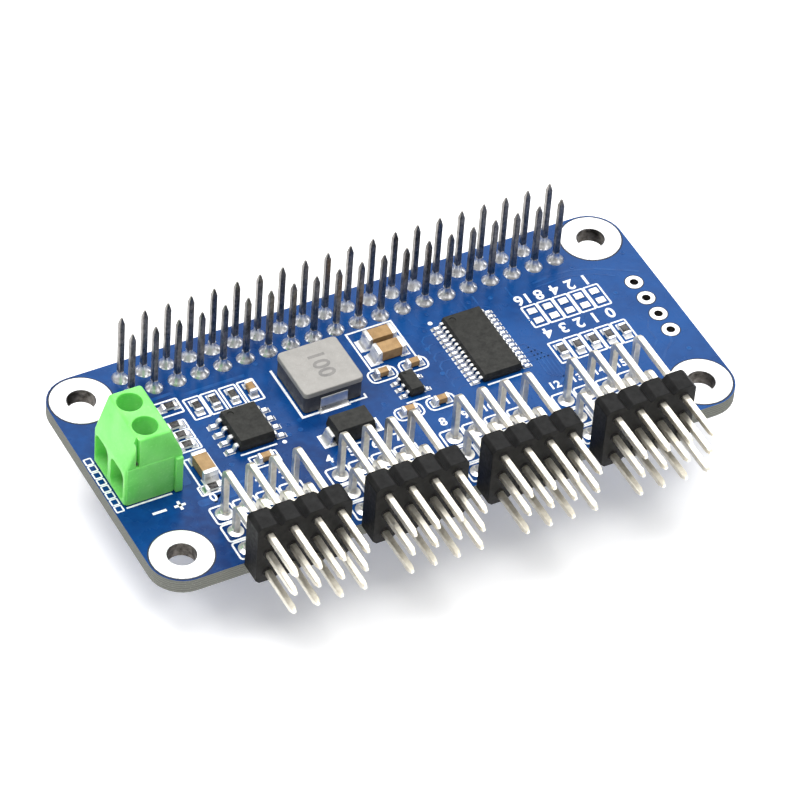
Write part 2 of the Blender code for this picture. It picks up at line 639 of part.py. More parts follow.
def make_diode():
    """The rectifier: a moulded body with a bent tab at each end."""
    x, y = DIODE_CENTRE
    diode = object_from(
        tapered_block((x, y, SOLDER_LEVEL + DIODE_GAP), DIODE_BODY, DIODE_DRAFT),
        "rectifier_diode", "chip_resin",
    )
    half = DIODE_BODY[0] / 2
    width, thickness = DIODE_TAB
    into, out, under = DIODE_TAB_REACH
    shoulder, foot = SOLDER_LEVEL + DIODE_TAB_HEIGHT, SOLDER_LEVEL + thickness / 2
    line = [(half - into, shoulder), (half + out, shoulder), (half + out, foot), (half - under, foot)]
    here = Matrix.Translation((x, y, 0))
    sides = [here, here @ Matrix.Rotation(math.pi, 4, "Z")]
    tabs = copies(extruded([ribbon(line, thickness)], width, XZ_PLANE), sides)
    boolean(diode, "UNION", object_from(tabs, "diode_tabs"))


def make_inductor():
    """The power inductor: a pressed block with a soldered clip at its front and back."""
    x, y = INDUCTOR_CENTRE
    height = INDUCTOR_SIZE[2]
    bm = bmesh.new()
    centred_box(bm, (x, y, SOLDER_LEVEL + INDUCTOR_GAP), INDUCTOR_SIZE)
    upright = [e for e in bm.edges if abs(e.verts[0].co.z - e.verts[1].co.z) > height / 2]
    bmesh.ops.bevel(bm, geom=upright, offset=INDUCTOR_CORNER, segments=2, affect="EDGES")
    inductor = object_from(bm, "power_inductor", "ferrite")
    clips = bmesh.new()
    clip_width, reach, clip_height = INDUCTOR_CLIP
    for side in (-1, 1):
        edge_y = y + side * INDUCTOR_SIZE[1] / 2
        low_y, high_y = sorted((edge_y - side * reach, edge_y + side * INDUCTOR_CLIP_PROUD))
        add_box(
            clips, (x - clip_width / 2, low_y, SOLDER_LEVEL),
            (x + clip_width / 2, high_y, SOLDER_LEVEL + clip_height),
        )
    boolean(inductor, "UNION", object_from(clips, "inductor_clips"))


def make_small_part(name, kind, x, y, along):
    """A capacitor or resistor with a metal cap round each end."""
    sizes = {
        "small_resistor": (SMALL_RESISTOR, "resistor_ceramic"),
        "small_capacitor": (SMALL_CAPACITOR, "capacitor_ceramic"),
        "large_capacitor": (LARGE_CAPACITOR, "capacitor_ceramic"),
    }
    (length, width, height, cap), material_name = sizes[kind]
    inset = CAP_OVERHANG
    bm = bmesh.new()
    centred_box(
        bm, (0, 0, SOLDER_LEVEL + inset),
        (length - 2 * inset, width - 2 * inset, height - 2 * inset),
    )
    part = object_from(bm, name, material_name, (x, y, 0))
    caps = bmesh.new()
    for side in (-1, 1):
        centred_box(caps, (side * (length - cap) / 2, 0, SOLDER_LEVEL), (cap, width, height))
    caps = object_from(caps, f"{name}_caps", None, (x, y, 0))
    for obj in (part, caps):
        obj.rotation_euler.z = math.radians(90) if along == "Y" else 0
    boolean(part, "UNION", caps)


def main():
    make_circuit_board()
    make_socket_header()
    for number in range(1, SERVO_BLOCKS + 1):
        make_servo_header(number)
    make_terminal_housing()
    for number, y in POLE_NAMES.items():
        make_terminal_screw(number, y)
        make_wire_clamp(number, y)
        make_terminal_contact(number, y)
    for name in CHIPS:
        make_leaded_chip(name)
    make_diode()
    make_inductor()
    for name, kind, x, y, along in SMALL_PARTS:
        make_small_part(name, kind, x * MM, y * MM, along)
    for i in range(ADDRESS_COUNT):
        x = ADDRESS_FIRST_X + i * ADDRESS_STEP
        make_small_part(f"address_resistor_{i + 1}", "small_resistor", x, ADDRESS_RESISTOR_Y, "Y")


for startup_object in list(bpy.data.objects):
    bpy.data.objects.remove(startup_object, do_unlink=True)
PARTS = new_collection("servo_driver_board")
CUTTERS = new_collection("cutters")
CUTTERS.hide_render = True
main()
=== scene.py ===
import math

import bmesh
import bpy
from mathutils import Matrix, Vector


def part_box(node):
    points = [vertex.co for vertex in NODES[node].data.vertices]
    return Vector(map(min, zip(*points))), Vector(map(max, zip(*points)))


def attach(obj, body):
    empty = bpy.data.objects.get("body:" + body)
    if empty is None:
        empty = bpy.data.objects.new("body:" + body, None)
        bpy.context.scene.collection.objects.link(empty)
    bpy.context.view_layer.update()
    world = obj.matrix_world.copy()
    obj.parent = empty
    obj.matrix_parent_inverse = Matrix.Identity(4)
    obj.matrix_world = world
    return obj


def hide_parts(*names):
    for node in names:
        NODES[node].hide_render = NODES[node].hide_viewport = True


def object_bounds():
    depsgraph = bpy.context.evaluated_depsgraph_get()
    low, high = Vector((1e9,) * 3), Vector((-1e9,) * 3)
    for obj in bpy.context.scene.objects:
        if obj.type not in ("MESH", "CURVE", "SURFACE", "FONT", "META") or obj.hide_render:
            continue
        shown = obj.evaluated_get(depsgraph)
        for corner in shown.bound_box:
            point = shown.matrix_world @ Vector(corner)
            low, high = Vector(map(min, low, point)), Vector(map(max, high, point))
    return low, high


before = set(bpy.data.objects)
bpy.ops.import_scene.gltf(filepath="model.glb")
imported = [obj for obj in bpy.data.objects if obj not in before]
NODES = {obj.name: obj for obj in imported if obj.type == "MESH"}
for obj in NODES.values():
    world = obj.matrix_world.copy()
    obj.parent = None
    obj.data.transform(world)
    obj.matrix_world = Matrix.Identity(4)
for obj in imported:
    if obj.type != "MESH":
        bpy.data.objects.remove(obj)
CAD_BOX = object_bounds()

MM = 0.001
PITCH = 2.54 * MM
BOARD_TOP = 1.6 * MM
SILK_TOP = BOARD_TOP + 0.022 * MM
COPPER_TOP = BOARD_TOP + 0.012 * MM
PAD_TOP = BOARD_TOP + 0.035 * MM
SUNK = 0.01 * MM  # how far prints and pads reach into the board
ROOT = BOARD_TOP - SUNK
SOLDER_LEVEL = BOARD_TOP + 0.06 * MM

HEADER_Y = 11.5 * MM
HEADER_COLUMNS = 20
SERVO_FIRST_X = -9 * PITCH
SERVO_ROW_Y = tuple(-8.26 * MM - row * PITCH for row in range(3))
SERVO_ROW_Z = tuple(BOARD_TOP + 6.0 * MM - row * PITCH for row in range(3))
SERVO_BLOCK_FRONT, SERVO_BLOCK_BACK = -17.7 * MM, -15.2 * MM
PIN_SIDE = 0.64 * MM


def mm(*values):
    """A point or size given in millimetres."""
    return tuple(value * MM for value in values)


def at(x=0.0, y=0.0, z=0.0, turn=0.0):
    """The place at a point, turned about the upright axis by an angle in radians."""
    return Matrix.Translation((x, y, z)) @ Matrix.Rotation(turn, 4, "Z")


UPRIGHT = Matrix.Rotation(math.radians(90), 4, "X")  # stands a plan shape up on its front edge


# ---------------- materials

class Look:
    """A material with one Principled shader, built up node by node."""

    def __init__(self, name, colour, roughness, metallic=0.0, **values):
        self.material = bpy.data.materials.new(name)
        self.material.use_nodes = True
        self.tree = self.material.node_tree
        self.shader = self.tree.nodes["Principled BSDF"]
        values.update(Base_Color=(*colour, 1), Roughness=roughness, Metallic=metallic)
        for socket, value in values.items():
            self.shader.inputs[socket.replace("_", " ")].default_value = value
        self.place = self.add("ShaderNodeTexCoord").outputs["Object"]
        self.material.diffuse_color = (*colour, 1)

    def add(self, kind, inputs=(), **settings):
        """A node of this kind, with its settings, and its inputs linked or set."""
        node = self.tree.nodes.new(kind)
        for name, value in settings.items():
            setattr(node, name, value)
        for socket, value in dict(inputs).items():
            if isinstance(value, bpy.types.NodeSocket):
                self.tree.links.new(value, node.inputs[socket])
            else:
                node.inputs[socket].default_value = value
        return node

    def stretched(self, scale):
        """Coordinates scaled by three numbers."""
        return self.add(
            "ShaderNodeMapping", {"Vector": self.place, "Scale": scale}
        ).outputs["Vector"]

    def noise(self, size, detail=3.0, stretch=(1, 1, 1)):
        """Noise from 0 to 1 whose patches are about size metres across."""
        where = self.stretched(stretch) if stretch != (1, 1, 1) else self.place
        node = self.add(
            "ShaderNodeTexNoise", {"Vector": where, "Scale": 1 / size, "Detail": detail}
        )
        return node.outputs["Fac"]

    def cells(self, size):
        """Distance to the nearest of points scattered about size metres apart."""
        node = self.add("ShaderNodeTexVoronoi", {"Vector": self.place, "Scale": 1 / size})
        return node.outputs["Distance"]

    def math(self, operation, *values):
        return self.add(
            "ShaderNodeMath", dict(enumerate(values)), operation=operation
        ).outputs["Value"]

    def fit(self, value, low, high, to_low=0.0, to_high=1.0):
        """The value brought from one range to another and held there."""
        inputs = {
            "Value": value, "From Min": low, "From Max": high,
            "To Min": to_low, "To Max": to_high,
        }
        return self.add("ShaderNodeMapRange", inputs).outputs["Result"]

    def blend(self, factor, first, second):
        """A colour between two others; each is an output or three numbers."""
        first, second = (
            value if isinstance(value, bpy.types.NodeSocket) else (*value, 1)
            for value in (first, second)
        )
        inputs = {0: factor, 6: first, 7: second}
        return self.add("ShaderNodeMix", inputs, data_type="RGBA").outputs[2]

    def drive(self, socket, value):
        self.tree.links.new(value, self.shader.inputs[socket])

    def paint(self, factor, first, second):
        self.drive("Base Color", self.blend(factor, first, second))

    def bump(self, height, depth, strength=0.6):
        """Relief of about depth metres where height goes from 0 to 1."""
        node = self.add(
            "ShaderNodeBump", {"Height": height, "Distance": depth, "Strength": strength}
        )
        self.drive("Normal", node.outputs["Normal"])

    def facing(self):
        """How upright the surface's normal is: 1 on a top or bottom, 0 on a side."""
        normal = self.add("ShaderNodeNewGeometry").outputs["Normal"]
        split = self.add("ShaderNodeSeparateXYZ", {"Vector": normal})
        return self.math("ABSOLUTE", split.outputs["Z"])


def board_look():
    """Glossy blue mask over copper and glass cloth, with a cut glass-fibre edge."""
    look = Look("solder_mask", (0.005, 0.06, 0.26), 0.3, Specular_IOR_Level=0.13)
    patches = look.fit(look.noise(9 * MM, 2), 0.35, 0.65)
    mask = look.blend(patches, (0.0014, 0.02, 0.1), (0.0032, 0.048, 0.19))
    fine = look.fit(look.noise(0.9 * MM, 4), 0.4, 0.7)
    mask = look.blend(look.math("MULTIPLY", fine, 0.3), mask, (0.005, 0.077, 0.28))
    blotches = look.fit(look.noise(3.5 * MM), 0.5, 0.72, 0.0, 0.3)
    mask = look.blend(blotches, mask, (0.001, 0.013, 0.075))
    along, across, _ = look.add("ShaderNodeSeparateXYZ", {"Vector": look.place}).outputs
    # Painted light: the mask is painted lighter towards +x, as if more light fell on that side of
    # the board.
    mask = look.blend(look.fit(along, -32 * MM, 32 * MM, 0.0, 0.4), mask, (0.005, 0.08, 0.29))
    layers = look.add(
        "ShaderNodeTexWave",
        {"Vector": look.place, "Scale": 1 / (0.9 * MM), "Distortion": 3.0, "Detail": 3.0,
         "Detail Scale": 2.0},
        bands_direction="Z",
    ).outputs["Fac"]
    glass = look.blend(layers, (0.13, 0.135, 0.12), (0.21, 0.215, 0.19))
    specks = look.fit(look.cells(0.3 * MM), 0.06, 0.2)
    glass = look.blend(specks, (0.34, 0.34, 0.31), glass)
    is_face = look.fit(look.facing(), 0.45, 0.6)
    look.paint(is_face, glass, mask)
    gloss = look.fit(look.noise(2.5 * MM), 0.3, 0.7, 0.2, 0.34)
    look.drive("Roughness", look.fit(is_face, 0.0, 1.0, 0.75, gloss))
    weave = [
        look.math("SINE", look.math("MULTIPLY", axis, math.tau / (0.55 * MM)))
        for axis in (along, across)
    ]
    cloth = look.math("MULTIPLY", *weave)
    ripple = look.math("MULTIPLY_ADD", look.noise(1.6 * MM), 2.0, cloth)
    look.bump(ripple, 0.0011 * MM, 0.25)
    return look.material


def masked_copper_look():
    """Copper under the mask: the same blue, a little lighter and raised."""
    look = Look("masked_copper", (0.006, 0.08, 0.3), 0.28, Specular_IOR_Level=0.17)
    shade = look.fit(look.noise(1.2 * MM), 0.35, 0.65)
    look.paint(shade, (0.003, 0.044, 0.18), (0.005, 0.074, 0.26))
    look.bump(look.noise(0.6 * MM, 2), 0.002 * MM)
    return look.material


def silk_look():
    look = Look("silkscreen_ink", (0.86, 0.87, 0.86), 0.55)
    wear = look.fit(look.noise(0.35 * MM, 4), 0.3, 0.62)
    look.paint(wear, (0.62, 0.67, 0.74), (0.93, 0.93, 0.9))
    look.bump(look.noise(0.12 * MM, 2), 0.004 * MM)
    return look.material


def metal_look(name, dark, light, rough, grain, along=(1, 1, 1), depth=0.002):
    """Metal with patches of two tints, uneven gloss and grain; sizes are in millimetres."""
    grain, depth = mm(grain, depth)
    look = Look(name, light, rough[0], 1.0)
    patches = look.fit(look.noise(6 * grain), 0.32, 0.66)
    look.paint(patches, dark, light)
    streaks = look.noise(grain, 3, along)
    look.drive("Roughness", look.fit(streaks, 0.3, 0.7, *rough))
    look.bump(streaks, depth)
    return look.material


def moulded_look(name, dark, light, rough, grain, depth, **values):
    """Moulded plastic or resin: fine grain, cloudiness, uneven gloss; sizes in millimetres."""
    grain, depth = mm(grain, depth)
    look = Look(name, light, rough[0], **values)
    cloud = look.fit(look.noise(14 * grain), 0.3, 0.7)
    colour = look.blend(cloud, dark, light)
    specks = look.fit(look.cells(2.2 * grain), 0.0, 0.3, 0.5, 0.0)
    paler = tuple(min(1.0, 1.5 * part + 0.01) for part in light)
    look.paint(specks, colour, paler)
    look.drive("Roughness", look.fit(look.noise(5 * grain), 0.3, 0.7, *rough))
    look.bump(look.noise(grain, 4), depth)
    return look.material


def terminal_look():
    """Light green moulded plastic, slightly translucent, with small paler patches."""
    look = Look(
        "terminal_plastic", (0.2, 0.7, 0.15), 0.38, Subsurface_Weight=0.55,
        Subsurface_Scale=1.3 * MM, Subsurface_Radius=(0.6, 1.0, 0.3), Specular_IOR_Level=0.3,
    )
    cloud = look.fit(look.noise(2.5 * MM), 0.3, 0.7)
    colour = look.blend(cloud, (0.165, 0.64, 0.125), (0.235, 0.77, 0.19))
    worn = look.fit(look.noise(0.25 * MM, 4), 0.56, 0.72, 0.0, 0.35)
    look.paint(worn, colour, (0.34, 0.85, 0.28))
    look.drive("Roughness", look.fit(look.noise(0.8 * MM), 0.3, 0.7, 0.3, 0.46))
    look.bump(look.noise(0.09 * MM, 4), 0.006 * MM)
    return look.material


def printed_resistor_look():
    """Black glaze with a faint brown cast."""
    look = Look("resistor_glaze", (0.02, 0.019, 0.018), 0.25)
    cast = look.fit(look.noise(0.25 * MM), 0.35, 0.65)
    look.paint(cast, (0.012, 0.012, 0.013), (0.045, 0.04, 0.036))
    look.drive("Roughness", look.fit(cast, 0.0, 1.0, 0.18, 0.34))
    look.bump(look.noise(0.06 * MM), 0.002 * MM)
    return look.material


MASK = board_look()
MASKED_COPPER = masked_copper_look()
SILK = silk_look()
SOLDER = metal_look(
    "bright_solder", (0.74, 0.74, 0.75), (0.95, 0.95, 0.94), (0.26, 0.44), 0.14, depth=0.003
)
PLATED_PAD = metal_look(
    "plated_pad", (0.9, 0.9, 0.89), (0.97, 0.97, 0.96), (0.46, 0.6), 0.5, depth=0.003
)
# Painted shade: the plated hole walls are coloured near black for the shade down inside the
# holes.
SHADED_HOLE_WALL = metal_look(
    "plated_hole_wall_painted_shade", (0.03, 0.026, 0.022), (0.17, 0.155, 0.14), (0.4, 0.6), 0.12
)
PAD_RIM = moulded_look(
    "bare_laminate_rim", (0.004, 0.008, 0.02), (0.008, 0.014, 0.035), (0.5, 0.7), 0.08, 0.003
)
SERVO_PIN_METAL = metal_look(
    "cream_pin_metal", (0.8, 0.75, 0.64), (0.94, 0.9, 0.79), (0.3, 0.44), 0.08, (1, 0.06, 0.06),
    0.0008,
)
# Painted shade: the header pins' metal is darkened far below any plating, standing in for the
# dark reflections the upright pins show.
HEADER_PIN_METAL = metal_look(
    "header_pin_metal_painted_dark", (0.14, 0.132, 0.124), (0.28, 0.265, 0.25), (0.24, 0.38), 0.08,
    (1, 1, 0.06), 0.0008,
)
LEAD_METAL = metal_look(
    "tinned_lead", (0.84, 0.84, 0.83), (0.97, 0.97, 0.95), (0.36, 0.52), 0.1, depth=0.001
)
STEEL = metal_look(
    "plated_steel", (0.5, 0.5, 0.49), (0.76, 0.76, 0.74), (0.22, 0.42), 0.06, (1, 1, 0.15)
)
BRASS = metal_look(
    "tinned_brass", (0.6, 0.53, 0.38), (0.84, 0.79, 0.66), (0.24, 0.42), 0.06, (0.15, 1, 1)
)
HEADER_PLASTIC = moulded_look(
    "header_plastic", (0.006, 0.006, 0.006), (0.014, 0.014, 0.014), (0.42, 0.6), 0.07, 0.005,
    Specular_IOR_Level=0.14,
)
CHIP_RESIN = moulded_look(
    "chip_resin", (0.014, 0.014, 0.0125), (0.03, 0.03, 0.027), (0.5, 0.68), 0.05, 0.004,
    Specular_IOR_Level=0.24,
)
INDUCTOR_TOP = moulded_look(
    "inductor_top", (0.29, 0.28, 0.262), (0.335, 0.322, 0.303), (0.5, 0.66), 0.07, 0.006
)
INDUCTOR_SIDE = moulded_look(
    "inductor_side", (0.03, 0.032, 0.036), (0.07, 0.07, 0.075), (0.42, 0.6), 0.07, 0.008
)
INDUCTOR_MARK = moulded_look(
    "inductor_mark", (0.17, 0.165, 0.16), (0.23, 0.22, 0.21), (0.6, 0.75), 0.07, 0.004
)
CAPACITOR_BODY = moulded_look(
    "capacitor_ceramic", (0.27, 0.155, 0.055), (0.4, 0.245, 0.1), (0.4, 0.56), 0.05, 0.004
)
ALUMINA = moulded_look(
    "resistor_alumina", (0.6, 0.6, 0.58), (0.78, 0.78, 0.75), (0.5, 0.65), 0.05, 0.004
)
RESISTOR_GLAZE = printed_resistor_look()
TERMINAL_PLASTIC = terminal_look()


# ---------------- mesh code

def round_edges(bm, edges, width, segments=2):
    bmesh.ops.bevel(
        bm, geom=list(edges), offset=width, segments=segments, profile=0.5, affect="EDGES"
    )


def block(low, high, bevel=0.0, segments=2):
    """A box between two corners, with all its edges rounded by bevel."""
    bm = bmesh.new()
    low, high = Vector(low), Vector(high)
    placed = Matrix.Translation((low + high) / 2) @ Matrix.Diagonal((*(high - low), 1))
    bmesh.ops.create_cube(bm, size=1, matrix=placed)
    if bevel:
        round_edges(bm, bm.edges, bevel, segments)
    return bm


def box_at(centre, size, bevel):
    """A rounded box that stands on centre, a point of its bottom face."""
    half = Vector((size[0] / 2, size[1] / 2, 0))
    centre = Vector(centre)
    return block(centre - half, centre + half + Vector((0, 0, size[2])), bevel)


def skin(bm, rings, capped=True):
    """Faces from each ring of vertices to the next, and over the first and last if capped."""
    for lower, upper in zip(rings, rings[1:]):
        for i in range(len(lower)):
            corners = dict.fromkeys((lower[i - 1], lower[i], upper[i], upper[i - 1]))
            if len(corners) > 2:
                bm.faces.new(corners)
    if capped:
        bm.faces.new(rings[0])
        bm.faces.new(rings[-1][::-1])
    bmesh.ops.recalc_face_normals(bm, faces=bm.faces)
    return bm


def prism(outline, low, high):
    """An upright prism of a plan outline between two heights."""
    bm = bmesh.new()
    return skin(bm, [[bm.verts.new((*point, z)) for point in outline] for z in (low, high)])


def lathe(profile, segments, centre=(0, 0)):
    """A closed body turned about an upright axis, from (radius, height) points.

    A profile that starts and ends on the axis is closed there, and any other closes on itself.
    """
    bm = bmesh.new()
    x, y = centre
    turns = [math.tau * i / segments for i in range(segments)]
    rings = []
    for radius, z in profile:
        if radius == 0:
            rings.append([bm.verts.new((x, y, z))] * segments)
            continue
        rings.append([
            bm.verts.new((x + radius * math.cos(a), y + radius * math.sin(a), z)) for a in turns
        ])
    if profile[0][0] != 0:
        rings.append(rings[0])
    return skin(bm, rings, False)


def rounded_path(points, radius, steps):
    """The points joined by straight runs, with an arc at each corner."""
    points = [Vector(point) for point in points]
    path = [points[0]]
    for before, corner, after in zip(points, points[1:], points[2:]):
        into, out = (before - corner).normalized(), (after - corner).normalized()
        half = into.angle(out) / 2
        back = min(radius / math.tan(half), (before - corner).length / 2.01,
                   (after - corner).length / 2.01)
        centre = corner + (into + out).normalized() * back / math.cos(half)
        start, end = corner + into * back - centre, corner + out * back - centre
        turn = [start.normalized().slerp(end.normalized(), i / steps) for i in range(steps + 1)]
        path += [centre + spoke * start.length for spoke in turn]
    return path + [points[-1]]


def bar(path, across, width, thickness, chamfer, tip_length=0.0, tip_share=1.0):
    """A bar of rectangular section with chamfered corners along a flat path.

    across is the direction of its width. Its first end tapers to a share of the section.
    """
    path, across = [Vector(point) for point in path], Vector(across).normalized()
    if tip_length:
        path.insert(1, path[0] + (path[1] - path[0]).normalized() * tip_length)
    w, t, c = width / 2, thickness / 2, chamfer
    section = (
        (w - c, t), (w, t - c), (w, c - t), (w - c, -t),
        (c - w, -t), (-w, c - t), (-w, t - c), (c - w, t),
    )
    bm = bmesh.new()
    rings = []
    for i, point in enumerate(path):
        before = (point - path[i - 1]).normalized() if i else None
        after = (path[i + 1] - point).normalized() if i + 1 < len(path) else None
        before, after = before or after, after or before
        along = (before + after).normalized()
        up = along.cross(across).normalized() / max(0.5, along.dot(before))
        share = 1.0 if i else tip_share
        rings.append([bm.verts.new(point + (across * u + up * v) * share) for u, v in section])
    return skin(bm, rings)


def stroke(points, width, closed=False, low=ROOT, high=SILK_TOP):
    """A flat printed line of even width through plan points."""
    points = [Vector(point) for point in points]
    count = len(points)
    bm = bmesh.new()
    rings = []
    for i, point in enumerate(points):
        before = point - points[i - 1] if closed or i else None
        after = points[(i + 1) % count] - point if closed or i + 1 < count else None
        before, after = (before or after).normalized(), (after or before).normalized()
        along = (before + after).normalized()
        across = Vector((-along.y, along.x)) * width / 2 / max(0.4, along.dot(before))
        left, right = point + across, point - across
        ring = ((left, low), (right, low), (right, high), (left, high))
        rings.append([bm.verts.new((*side, z)) for side, z in ring])
    return skin(bm, rings + rings[:1] if closed else rings, not closed)


def square(x, y, half_x, half_y):
    """The plan corners of a rectangle centred on a point."""
    return [(x + sx * half_x, y + sy * half_y) for sx, sy in ((1, 1), (-1, 1), (-1, -1), (1, -1))]


def rounded_rectangle(low, high, radius, steps=3):
    """Plan points of a rectangle with rounded corners."""
    (x0, y0), (x1, y1) = low, high
    points = []
    corners = ((x1 - radius, y1 - radius), (x0 + radius, y1 - radius),
               (x0 + radius, y0 + radius), (x1 - radius, y0 + radius))
    for turn, (x, y) in enumerate(corners):
        for i in range(steps + 1):
            a = math.radians(90 * (turn + i / steps))
            points.append((x + radius * math.cos(a), y + radius * math.sin(a)))
    return points


def evaluated(holder):
    """The mesh of an object with its modifiers applied."""
    graph = bpy.context.evaluated_depsgraph_get()
    mesh = bpy.data.meshes.new_from_object(holder.evaluated_get(graph))
    bm = bmesh.new()
    bm.from_mesh(mesh)
    bpy.data.meshes.remove(mesh)
    return bm


def lettering(text, size, centre, turn=0.0, depth=0.03 * MM, z=BOARD_TOP):
    """Printed figures of the built-in font, centred on a point and turned by degrees."""
    data = bpy.data.curves.new("figures", "FONT")
    data.body, data.size, data.extrude = text, size, depth / 2
    data.align_x, data.align_y = "CENTER", "CENTER"
    data.resolution_u, data.offset = 3, 0.026 * size
    holder = bpy.data.objects.new("figures", data)
    bpy.context.scene.collection.objects.link(holder)
    bm = evaluated(holder)
    bpy.data.objects.remove(holder, do_unlink=True)
    bmesh.ops.remove_doubles(bm, verts=bm.verts, dist=1e-8)
    placed = at(*centre, z, math.radians(turn))
    bmesh.ops.transform(bm, matrix=placed, verts=bm.verts)
    return bm


def carve(bm, other, operation="DIFFERENCE"):
    """bm with the other shape taken out of it, or joined to it."""
    made = []
    for shape in (bm, other):
        mesh = bpy.data.meshes.new("carved")
        shape.to_mesh(mesh)
        shape.free()
        holder = bpy.data.objects.new("carved", mesh)
        bpy.context.scene.collection.objects.link(holder)
        made.append(holder)
    modifier = made[0].modifiers.new("carve", "BOOLEAN")
    modifier.operation, modifier.object, modifier.solver = operation, made[1], "EXACT"
    result = evaluated(made[0])
    for holder in made:
        bpy.data.objects.remove(holder, do_unlink=True)
    sliver = 0.002 * MM  # thinner scraps of a cut are closed up
    bmesh.ops.remove_doubles(result, verts=result.verts, dist=sliver)
    bmesh.ops.dissolve_degenerate(result, dist=sliver, edges=result.edges)
    return result


class Piece:
    """One visible piece: shapes gathered in one mesh, each with its material."""

    def __init__(self, name):
        self.name = name
        self.bm = bmesh.new()
        self.materials = []

    def add(self, shape, material, places=(Matrix.Identity(4),)):
        """Adds a shape at each place and frees it."""
        if material not in self.materials:
            self.materials.append(material)
        index = self.materials.index(material)
        for face in shape.faces:
            face.material_index = index
        mesh = bpy.data.meshes.new("shape")
        shape.to_mesh(mesh)
        shape.free()
        for place in places:
            start = len(self.bm.verts)
            self.bm.from_mesh(mesh)
            self.bm.verts.ensure_lookup_table()
            bmesh.ops.transform(self.bm, matrix=place, verts=self.bm.verts[start:])
        bpy.data.meshes.remove(mesh)

    def made(self, slot, replaces=(), body="board", sharp=34):
        """Makes the finished object, smooth across edges flatter than sharp degrees."""
        for edge in self.bm.edges:
            edge.smooth = edge.calc_face_angle(math.pi) < math.radians(sharp)
        for face in self.bm.faces:
            face.smooth = True
        mesh = bpy.data.meshes.new(self.name)
        self.bm.to_mesh(mesh)
        self.bm.free()
        for material in self.materials:
            mesh.materials.append(material)
        piece = bpy.data.objects.new(self.name, mesh)
        bpy.context.scene.collection.objects.link(piece)
        flat = piece.modifiers.new("flat faces", "WEIGHTED_NORMAL")
        flat.keep_sharp = True
        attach(piece, body)
        if replaces:
            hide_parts(*replaces)


def header_places():
    first = -(HEADER_COLUMNS - 1) / 2
    return [
        at((first + column) * PITCH, HEADER_Y + side * PITCH / 2)
        for column in range(HEADER_COLUMNS) for side in (-1, 1)
    ]


def servo_columns(block_number):
    return [SERVO_FIRST_X + (5 * (block_number - 1) + i) * PITCH for i in range(4)]


def uneven(place, number):
    """The same place with a turn and a small stretch, so that no two joints are alike."""
    wide, deep = 1 + 0.06 * math.sin(2.3 * number), 1 + 0.06 * math.cos(3.1 * number)
    return place @ at(turn=1.7 * number) @ Matrix.Diagonal((wide, deep, 1, 1))


def solder_cone(pad_radius, base, height, top_radius, up=1):
    """A solder joint's hollow-sided cone round a pin, on a pad, rising or hanging."""
    foot, skirt, steps = base - up * SUNK, 0.05 * MM, 6
    profile = [(0, foot), (pad_radius, foot), (pad_radius, base + up * 0.03 * MM)]
    for i in range(1, steps + 1):
        share = i / steps
        radius = top_radius + (pad_radius * 0.94 - top_radius) * (1 - share) ** 2.4
        profile.append((radius, base + up * (skirt + (height - skirt) * share)))
    profile.append((0, base + up * height))
    return lathe(profile, 20)


# ---------------- the board

def dress_board():
    board = NODES["circuit_board"]
    board.data.materials.clear()
    board.data.materials.append(MASK)

    rings = Piece("mounting_pads")
    edge = 0.03 * MM  # the width of a pad's sloping edge

    def plated_hole(centre, hole, pad, proud, rim, segments):
        """A pad on each face, the hole's wall between them and bare laminate round them."""
        for face, out in ((0.0, -1), (BOARD_TOP, 1)):
            root, film = face - out * SUNK, face + out * 0.008 * MM
            shoulder, top = face + out * (proud - edge), face + out * proud
            plating = [
                (hole, root), (hole, shoulder), (hole + edge, top), (pad - edge, top),
                (pad, shoulder), (pad, root),
            ]
            rings.add(lathe(plating, segments, centre), PLATED_PAD)
            bare = [(pad - edge, root), (pad - edge, film), (pad + rim, film), (pad + rim, root)]
            rings.add(lathe(bare, segments, centre), PAD_RIM)
        low, high = -0.6 * proud, BOARD_TOP + 0.6 * proud
        inner, outer = hole - 0.02 * MM, hole + 0.05 * MM
        wall = [(inner, low), (outer, low), (outer, high), (inner, high)]
        # The hole's wall takes the near-black metal, painted shade inside the hole.
        rings.add(lathe(wall, segments, centre), SHADED_HOLE_WALL)

    for x in (-29.0, 29.0):
        for y in (-11.5, 11.5):
            plated_hole(mm(x, y), *mm(1.48, 3.21, 0.056, 0.14), 72)
    for i in range(4):
        centre = (29.95 * MM, 0.15 * MM + (i - 1.5) * PITCH)
        plated_hole(centre, *mm(0.44, 0.94, 0.04, 0.1), 28)
    rings.made("solder")


